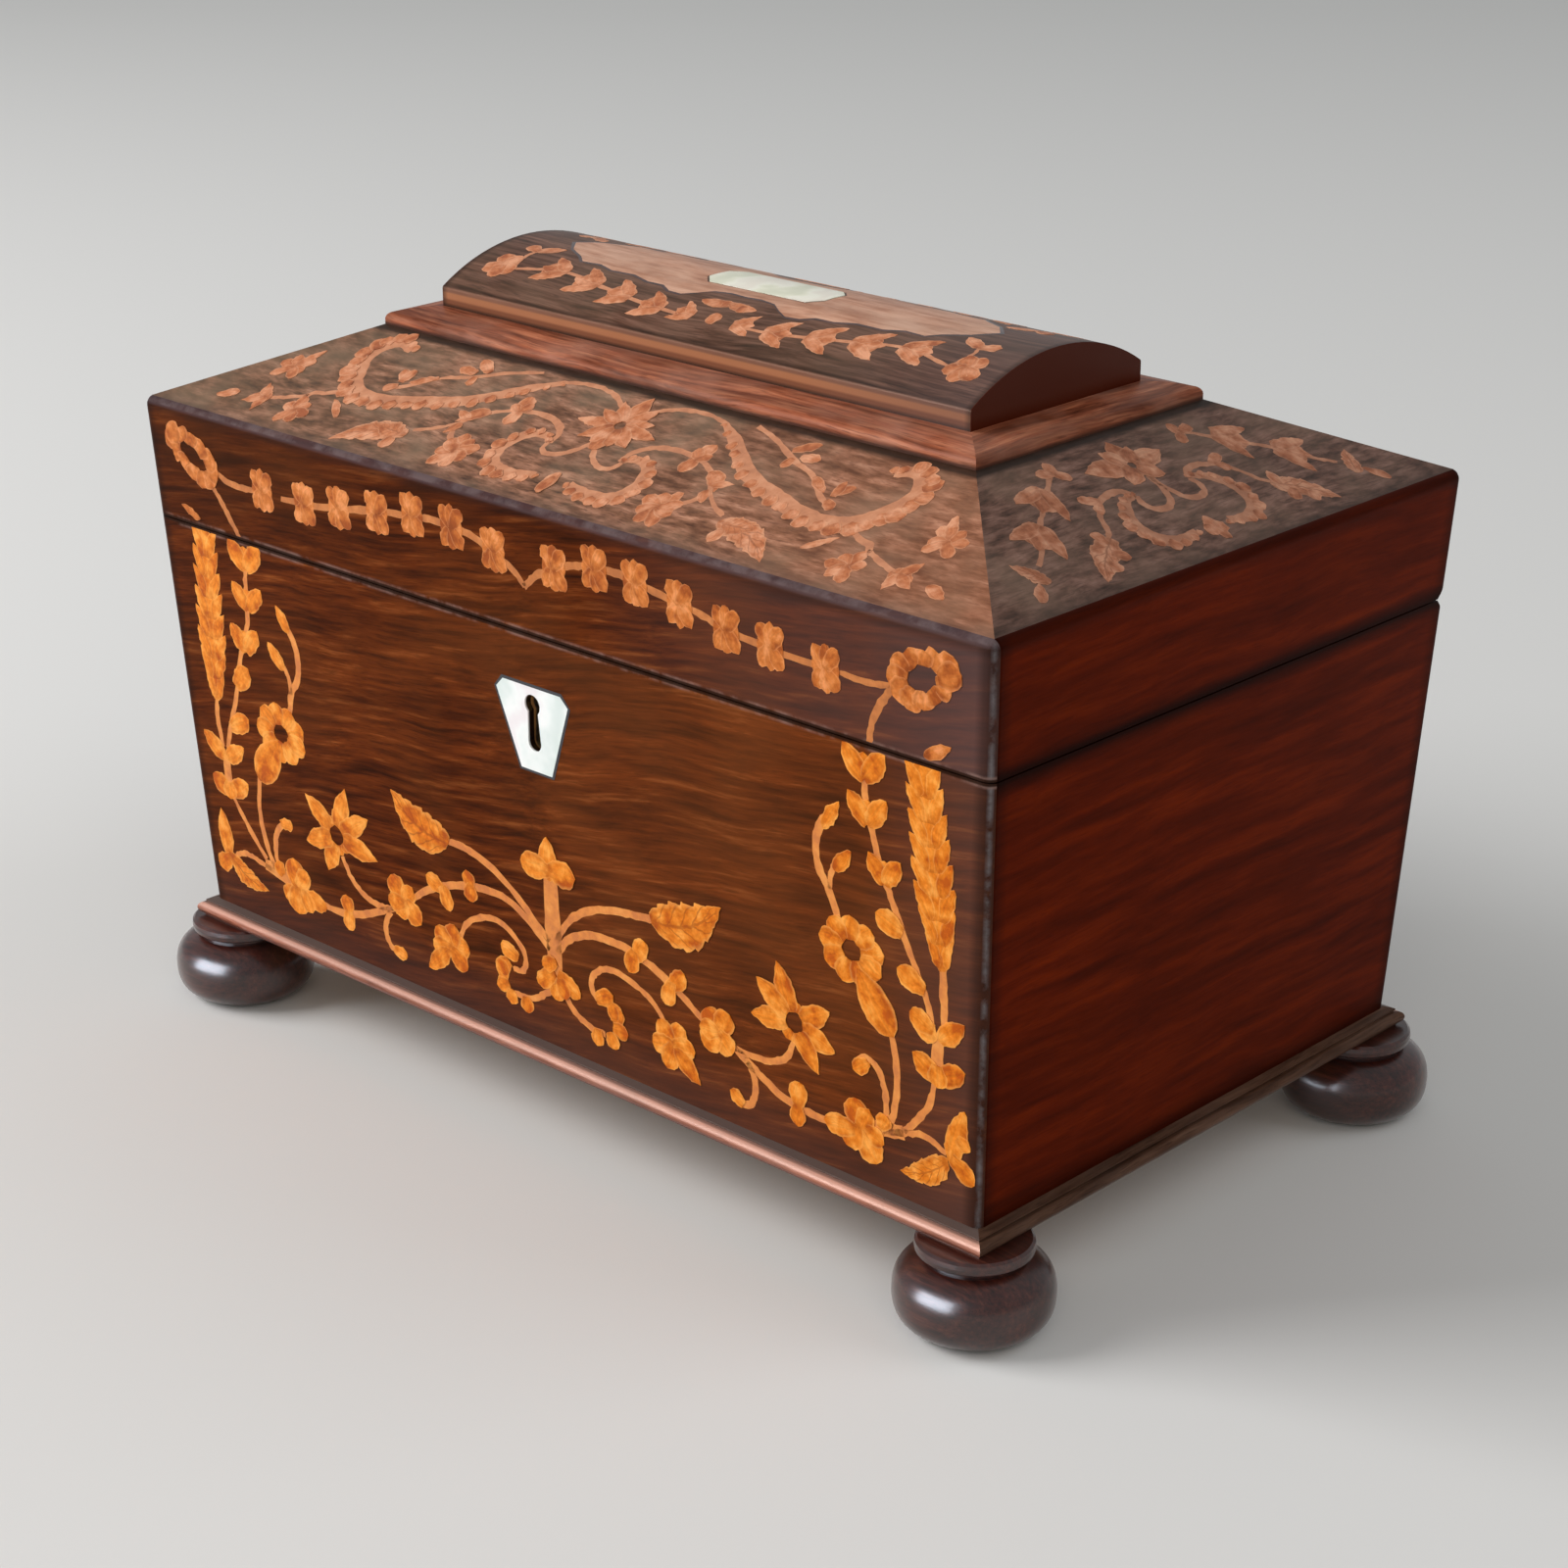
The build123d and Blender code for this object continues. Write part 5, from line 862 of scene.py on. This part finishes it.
slopeGarlands = [
    garland([(21.9, 32.7), (28.3, 28.8), (34, 24.6), (41, 20.8), (48.3, 18.6), (55.4, 16.6), (62.6, 15.8),
             (68.3, 17.7), (71.4, 21.3), (74, 26.3), (73, 30.4), (69.7, 32.6), (65.2, 31.2)],
            (1.4, 2.8, 3.4, 3.6, 3.8, 4, 4.6, 5, 5, 5, 4.6, 4, 2.4), 26, -1),
    garland([(10, 17.4), (12.4, 18.6), (15.8, 18), (18.2, 15), (18.6, 11.4), (16.8, 8.4), (13, 7.2), (8.6, 7.4),
             (4.6, 8.6)], (1.4, 2, 2.8, 3.4, 3.8, 3.8, 3.8, 3.2, 1.8), 13, 1),
]
for bandStems, bandCuts in slopeGarlands:
    slopeStems += bandStems
    slopeCuts += bandCuts
slopeMiddle = [
    *spray(1, 25.6, 1.2, (
        ("petal", 88, 7.6, 4.4), ("grain", 128, 6.6, 3), ("petal", 50, 6.4, 3.2), ("grain", 16, 6.4, 2.8),
        ("petal", 352, 9.4, 3), ("petal", 184, 9.6, 3), ("grain", 158, 7, 2.8), ("petal", 218, 7, 3.2),
        ("petal", 322, 7, 3.4), ("lobe", 268, 6.4, 4.4), ("lobe", 245, 5, 3), ("lobe", 292, 5, 3))),
    *lobes((0, 4.8, 90, 6, 3), (0, 9.4, 268, 5, 2.8)),
]
endStems = [
    [1.4, [(0, 22.6), (0.8, 18), (3, 15.2), (6.4, 15), (8.4, 17), (7.6, 19.4)]],
    [1.4, [(7.6, 19.6), (10, 21.4), (14, 21.4), (18, 20.2)]],
    [1.1, [(17.6, 20), (20.4, 17.4), (22.4, 14), (25, 12)]],
    [1.0, [(19, 30), (24, 26.6), (30, 22.6), (34, 20), (40, 14.6), (44, 12)]],
]
endCuts = [
    *lobes((16.4, 20.8, 20, 4.6, 2.4), (17, 20.6, 318, 3.6, 2.2)),
    ("leaf", 23.4, 12.4, 324, 14, 5.4, 0.06),
    *lobes((25.4, 11.6, 80, 3.6, 2.6), (27, 9.6, 220, 3.6, 2.8), (30, 8, 250, 3, 2.6)),
    *lobes((18.4, 28.6, 96, 4, 2.6), (18.6, 29.8, 10, 4, 2.4), (18.6, 29.4, 218, 3.4, 2.4)),
    *husk(24.8, 27.4, 318, 8), *husk(34, 20, 322, 8.2),
    ("leaf", 45.4, 8, 58, 7.2, 3.8), ("bud", 51.6, 4.6, 132, 5.6, 2.4),
]
bandStems, bandCuts = garland(
    [(7.8, 19.6), (10, 19.4), (13, 17.6), (15.2, 14.4), (15.2, 11), (13, 8.2), (9, 7.2), (4.8, 8)],
    (1.2, 1.8, 2.8, 3.4, 3.6, 3.4, 2.8, 1.6), 12, 1)
endStems += bandStems
endCuts += bandCuts
endMiddle = [
    *spray(-0.6, 26, 0.8, (
        ("petal", 172, 11, 5), ("petal", 8, 9.4, 4.6), ("petal", 84, 6, 4.6), ("petal", 128, 5.4, 4),
        ("petal", 48, 5, 4), ("petal", 222, 5.6, 4.4), ("petal", 318, 5.6, 4.4))),
    *lobes((0.2, 4.2, 90, 6.4, 3.4), (-1.2, 8.6, 262, 3, 2.6), (1.2, 8.6, 278, 3, 2.6)),
]
domeStems = [
    [1.0, [(8, -19), (20, -18), (33, -16), (47, -14), (58, -16.4)]],
    [1.0, [(59, -15.6), (60, -11), (59, -8)]],
]
domeCuts = [
    *husk(5.4, -18.6, 12, 5.4), *husk(13.6, -18.6, 8, 7), *husk(23.6, -17.2, 6, 7.4), *husk(34, -15.8, 6, 7.8),
    *husk(45, -14.2, 4, 7.6),
    *[("lobe", 62.2, -16, angle, 4.6, 4) for angle in (60, 120, 205, 262, 322)],
    ("bud", 59.6, -8.6, 150, 6.6, 3), ("lobe", 59.4, -8.4, 20, 4.2, 3),
]
domeMiddle = [
    ("lobe", 0, -19.8, 90, 3.6, 3), ("bow", 0.6, -12.4, 184, 8.4, 2.8, 0.05),
    ("bow", -0.6, -12.4, -4, 7.4, 2.8, -0.05), *lobes((-3, -12.2, 250, 2.6, 2.6), (3, -12.2, 290, 2.6, 2.6)),
]


crownPanel = {  # figured panel round the plaque, a quarter of its outline in mm, and the dark line left round it
    "line": 0.55, "lift": 0.02,
    "outline": ((57, 0), (53.5, 4), (48.5, 6.6), (46, 8.6), (41, 8.2), (36.5, 9.6), (30, 9.4), (25, 10.8),
                (20.5, 10.8), (17.5, 12.4), (14, 12.6), (11, 11), (8, 9), (4, 8.3), (0, 8.6)),
    "plaque": ((15.8, 0), (15.8, 3.2), (13.2, 5.8), (0, 5.8)),
}
glueLine = {  # outline in mm across and up, right half, from the foot: outside and inside
    "outside": ((4.75, 80.6), (10.55, 96.5), (8.3, 99.15)), "inside": ((3.6, 82), (8.6, 96), (7.4, 97.8)),
    "lift": 0.04,
}


def newCurve(name, dimensions):
    bpy.ops.curve.primitive_bezier_curve_add(location=(0, 0, 0))
    curve = bpy.context.object
    curve.name = name
    curve.data.splines.clear()
    curve.data.dimensions = dimensions
    return curve


def stemMesh(name, stems):
    curve = newCurve(name, "3D")
    curve.data.twist_mode = "Z_UP"
    curve.data.extrude = 0.5
    curve.data.resolution_u = 5
    for width, points in stems:
        spline = curve.data.splines.new("BEZIER")
        spline.bezier_points.add(len(points) - 1)
        ends = (0, len(points) - 1)
        for i, (x, y) in enumerate(points):
            knot = spline.bezier_points[i]
            knot.co = (x, y, 0)
            knot.handle_left_type = knot.handle_right_type = "AUTO"
            knot.tilt = pi / 2
            knot.radius = width[i] if isinstance(width, list) else width * (0.8 if i in ends else 1)
    bpy.ops.object.convert(target="MESH")
    return bpy.context.object


def flatShape(name, outlines):
    curve = newCurve(name, "2D")
    curve.data.fill_mode = "BOTH"
    for points in outlines:
        spline = curve.data.splines.new("POLY")
        spline.points.add(len(points) - 1)
        for point, (x, y) in zip(spline.points, points):
            point.co = (x, y, 0, 1)
        spline.use_cyclic_u = True
    bpy.ops.object.convert(target="MESH")
    return bpy.context.object


def ontoFront(x, z, lift):
    return x, -(caddy["lidHalfDepth"] - (caddy["lidEdgeHeight"] - z) * cantSlope) - lift - inlay["proud"], z


def ontoSlope(side, run="Depth"):  # the front and back slopes run across the depth, the end slopes across the width
    outermost, rise = caddy["lidHalf" + run], caddy["slopeTop"] - caddy["lidEdgeHeight"]
    inward = outermost - caddy["plinthHalf" + run]
    long = hypot(rise, inward)

    def place(along, t, lift):
        lift += inlay["proud"]
        out = side * (outermost - t + lift * rise / long)
        height = caddy["lidEdgeHeight"] + t * rise / inward + lift * inward / long
        return (along * -side, out, height) if run == "Depth" else (out, along * side, height)
    return place


archRadius = (caddy["domeHalfDepth"] ** 2 + caddy["domeRise"] ** 2) / (2 * caddy["domeRise"])


def ontoDome(side):
    def place(x, y, lift):
        radius = archRadius + inlay["proud"] + lift
        angle = y / archRadius
        height = caddy["domeSpring"] + caddy["domeRise"] - archRadius + radius * cos(angle)
        return x * -side, -side * radius * sin(angle), height
    return place


def letIn(piece, toFace, body, finish):  # lays a flat piece drawn in mm onto its face, as thin veneer
    for vertex in piece.data.vertices:
        vertex.co = Vector(toFace(*vertex.co)) * mm
    veneer = piece.modifiers.new("veneerThickness", "SOLIDIFY")
    veneer.thickness = inlay["thickness"] * mm
    veneer.offset = -1
    bpy.ops.object.modifier_apply(modifier=veneer.name)
    bpy.ops.object.shade_flat()
    piece.data.materials.clear()
    piece.data.materials.append(made[finish])
    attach(piece, body)
    bpy.ops.object.select_all(action="DESELECT")


def layInlay(name, body, stems, cuts, toFace, finish, cutLine=None):
    ribbons = stemMesh(name, stems)
    uv = ribbons.data.uv_layers.active or ribbons.data.uv_layers.new(name="UVMap")
    uv.name = "UVMap"
    for loop in uv.data:
        loop.uv = inlay["stemUv"]
    pieces = [ribbons]
    for number, (kind, x, y, angle, length, width, *bend) in enumerate(cuts):
        mesh = patterns[kind].data.copy()
        turn = radians(angle)
        lift = inlay["proud"] + inlay["step"] * number
        for vertex in mesh.vertices:
            u, v = vertex.co.x * length, vertex.co.y * width
            v += (bend[0] if bend else 0) * length * 4 * (vertex.co.x - vertex.co.x ** 2)
            vertex.co = (x + u * cos(turn) - v * sin(turn), y + u * sin(turn) + v * cos(turn), lift)
        veined = cutShapes[kind].get("veined", 0)
        for loop in mesh.uv_layers[0].data:  # each cut keeps 0.02 clear of the edges of its square
            loop.uv = (0.02 + 0.96 * loop.uv[0] + number % inlay["tones"], 0.02 + 0.96 * loop.uv[1] + veined)
        piece = bpy.data.objects.new(name, mesh)
        bpy.context.collection.objects.link(piece)
        pieces.append(piece)
    bpy.ops.object.select_all(action="DESELECT")
    for piece in pieces:
        piece.select_set(True)
    bpy.context.view_layer.objects.active = ribbons
    bpy.ops.object.join()
    bpy.ops.object.mode_set(mode="EDIT")
    bpy.ops.mesh.select_all(action="SELECT")
    bpy.ops.mesh.remove_doubles(threshold=0.001)
    if cutLine:
        bpy.ops.mesh.select_all(action="SELECT")
        bpy.ops.mesh.bisect(plane_co=(0, cutLine[0], 0), plane_no=(0, cutLine[1], 0), clear_outer=True)
    bpy.ops.object.mode_set(mode="OBJECT")

    def sawn(x, y, lift):  # the saw wandered off its line
        waver = noise.noise_vector(Vector((x, y, 0)) / inlay["waverRun"]) * inlay["waverReach"]
        if cutLine and abs(y - cutLine[0]) < inlay["cutLineReach"]:
            waver.y = 0
        return toFace(x + waver.x, y + waver.y, lift)

    letIn(ribbons, sawn, body, finish)


# animal glue, gone black with dirt in the cut round the escutcheon: a dull dark outline
made["blackenedGlueLine"] = newMaterial("blackenedGlueLine", 0.6, Base_Color=linearColour("#150b07"))[0]


def layGlueLine():
    halves = [glueLine[edge] for edge in ("outside", "inside")]
    ring = flatShape("escutcheonGlueLine", [half + tuple((-x, y) for x, y in reversed(half)) for half in halves])
    letIn(ring, lambda x, z, flat: ontoFront(x, z, glueLine["lift"]), "box", "blackenedGlueLine")


def allRound(quarterOutline):
    top = list(quarterOutline) + [(-x, y) for x, y in reversed(quarterOutline[:-1])]
    return top + [(x, -y) for x, y in reversed(top[1:-1])]


def layCrownPanel(name, grow, lift, finish):
    outline = [(x + grow * (2 if y == 0 else 0.6), y + (grow if y > 0 else 0)) for x, y in crownPanel["outline"]]
    panel = flatShape(name, [allRound(outline), allRound(crownPanel["plaque"])])
    bpy.ops.object.mode_set(mode="EDIT")
    for cut in range(-12, 13):  # cut through every millimetre, to bend over the arch
        bpy.ops.mesh.select_all(action="SELECT")
        bpy.ops.mesh.bisect(plane_co=(0, cut, 0), plane_no=(0, 1, 0))
    bpy.ops.object.mode_set(mode="OBJECT")
    toDome = ontoDome(-1)
    letIn(panel, lambda x, y, flat: toDome(x, y, lift), "lid", finish)


noise.seed_set(inlay["waverSeed"])
patterns = carveCuts()
layCrownPanel("crownLine", crownPanel["line"], 0.0, "turnedRosewood")
layCrownPanel("crownPanel", 0, crownPanel["lift"], "polishedKingwoodPanel")
layGlueLine()
layInlay("frontMarquetry", "box", frontStems, frontCuts, ontoFront, "sandShadedMapleInlay", (caddy["bodyCut"], 1))
layInlay("rimMarquetry", "lid", rimStems, rimCuts, ontoFront, "redStainedMapleInlay", (caddy["lidCut"], -1))
print("front marquetry is let in")

(slopeStems, slopeCuts), (endStems, endCuts), (domeStems, domeCuts) = [
    bothSides(*half) for half in ((slopeStems, slopeCuts), (endStems, endCuts), (domeStems, domeCuts))]
for name, side in (("front", -1), ("back", 1)):
    layInlay(name + "SlopeMarquetry", "lid", slopeStems, slopeCuts + slopeMiddle, ontoSlope(side), "fadedMapleInlay")
    layInlay(name + "CrownMarquetry", "lid", domeStems, domeCuts + domeMiddle, ontoDome(side), "fadedMapleInlay")
for name, side in (("right", 1), ("left", -1)):
    layInlay(name + "SlopeMarquetry", "lid", endStems, endCuts + endMiddle, ontoSlope(side, "Width"),
             "dulledMapleInlay")
for pattern in patterns.values():
    bpy.data.objects.remove(pattern)
print("lid marquetry is let in")


padSizes = {  # in mm: its thickness before it is stuffed, and what stays clear in front of it
    "start": 1.3, "clear": 0.03, "across": (84, 48), "tight": 0.998,
    # the cloth: the push of the stuffing, the steps it is stuffed in, and the velvet's weight and stiffness
    "pressure": 0.78, "frames": 20, "mass": 0.05, "stretch": 8, "shear": 3, "bending": 0.2,
}


def velvetMaterial():
    # cotton velvet: short dense pile, dark face on and paler where it leans away, brushed in soft patches;
    # its tufts are drawn 0.4 mm across, coarser than the real 0.15 mm, so that they can be seen
    material, tree, shader = newMaterial("crimsonCottonVelvet", 0.95, Specular_IOR_Level=0.1, Sheen_Weight=0.35,
                                         Sheen_Roughness=0.4, Sheen_Tint=linearColour("#b83a44"))
    place = addNode(tree, "TexCoord").outputs["Object"]
    brushed = addNode(tree, "TexNoise", {"Vector": place, "Scale": perMetre(32), "Detail": 3, "Distortion": 0.3})
    pile = addNode(tree, "TexNoise", {"Vector": place, "Scale": perMetre(0.4), "Detail": 1})
    tones = (0.3, "#480f19"), (0.55, "#591520"), (0.75, "#681b26")
    colour = addNode(tree, "ValToRGB", {"Fac": brushed}, stops=tones)
    speck = addNode(tree, "MixRGB", {0: 0.35, 1: colour, 2: pile}, blend_type="OVERLAY")
    bump = addNode(tree, "Bump", {"Height": pile, "Strength": 0.35, "Distance": 0.2 * mm})
    feed(tree, shader, Base_Color=speck, Normal=bump)
    return material


def stuffPad(pad, backHeight):  # the velvet is stuffed by pressure from inside, its back glued to the lid
    glue = pad.vertex_groups.new(name="glued")
    glue.add([vertex.index for vertex in pad.data.vertices if vertex.co.z > backHeight - 0.5 * mm], 1.0, "REPLACE")
    stuffing = pad.modifiers.new("stuffing", "CLOTH")
    velvet = stuffing.settings
    velvet.vertex_group_mass = "glued"
    velvet.use_pressure = True
    velvet.uniform_pressure_force = padSizes["pressure"]
    velvet.effector_weights.gravity = 0
    velvet.mass = padSizes["mass"]
    velvet.tension_stiffness = velvet.compression_stiffness = padSizes["stretch"]
    velvet.shear_stiffness = padSizes["shear"]
    velvet.bending_stiffness = padSizes["bending"]
    stuffing.point_cache.frame_end = padSizes["frames"]
    for step in range(1, padSizes["frames"] + 1):
        bpy.context.scene.frame_set(step)
    bpy.ops.object.modifier_apply(modifier=stuffing.name)
    bpy.context.scene.frame_set(1)
    lowest = min(vertex.co.z for vertex in pad.data.vertices)
    print("pad is stuffed, thickest in mm:", round((backHeight - lowest) / mm, 2))


def makePad():
    low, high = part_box("lid_pad")
    size, middle = high - low, (high + low) / 2
    columns, rows = padSizes["across"]
    bpy.ops.mesh.primitive_grid_add(x_subdivisions=columns, y_subdivisions=rows, size=1, location=(0, 0, 0))
    pad = bpy.context.object
    pad.name = "velvetPad"
    bpy.ops.object.mode_set(mode="EDIT")
    bpy.ops.mesh.select_all(action="SELECT")
    bpy.ops.mesh.extrude_region_move(TRANSFORM_OT_translate={"value": (0, 0, 1)})
    bpy.ops.mesh.select_all(action="SELECT")
    bpy.ops.mesh.normals_make_consistent(inside=False)
    bpy.ops.object.mode_set(mode="OBJECT")
    for vertex in pad.data.vertices:
        x, y, glued = vertex.co.x, vertex.co.y, vertex.co.z > 0.5
        vertex.co = (middle.x + x * size.x * padSizes["tight"], middle.y + y * size.y * padSizes["tight"],
                     high.z if glued else high.z - padSizes["start"] * mm)
    stuffPad(pad, high.z)
    smooth = pad.modifiers.new("smoothPile", "SUBSURF")
    smooth.levels = smooth.render_levels = 1
    bpy.ops.object.modifier_apply(modifier=smooth.name)
    for vertex in pad.data.vertices:  # nothing stands out of the room it has
        vertex.co = [min(max(value, least + padSizes["clear"] * mm), most)
                     for value, least, most in zip(vertex.co, low, high)]
    bpy.ops.object.shade_smooth_by_angle(angle=radians(40))
    pad.data.materials.append(velvetMaterial())
    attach(pad, "lid")
    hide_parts("lid_pad")
    bpy.ops.object.select_all(action="DESELECT")


makePad()
print("lid pad is in")
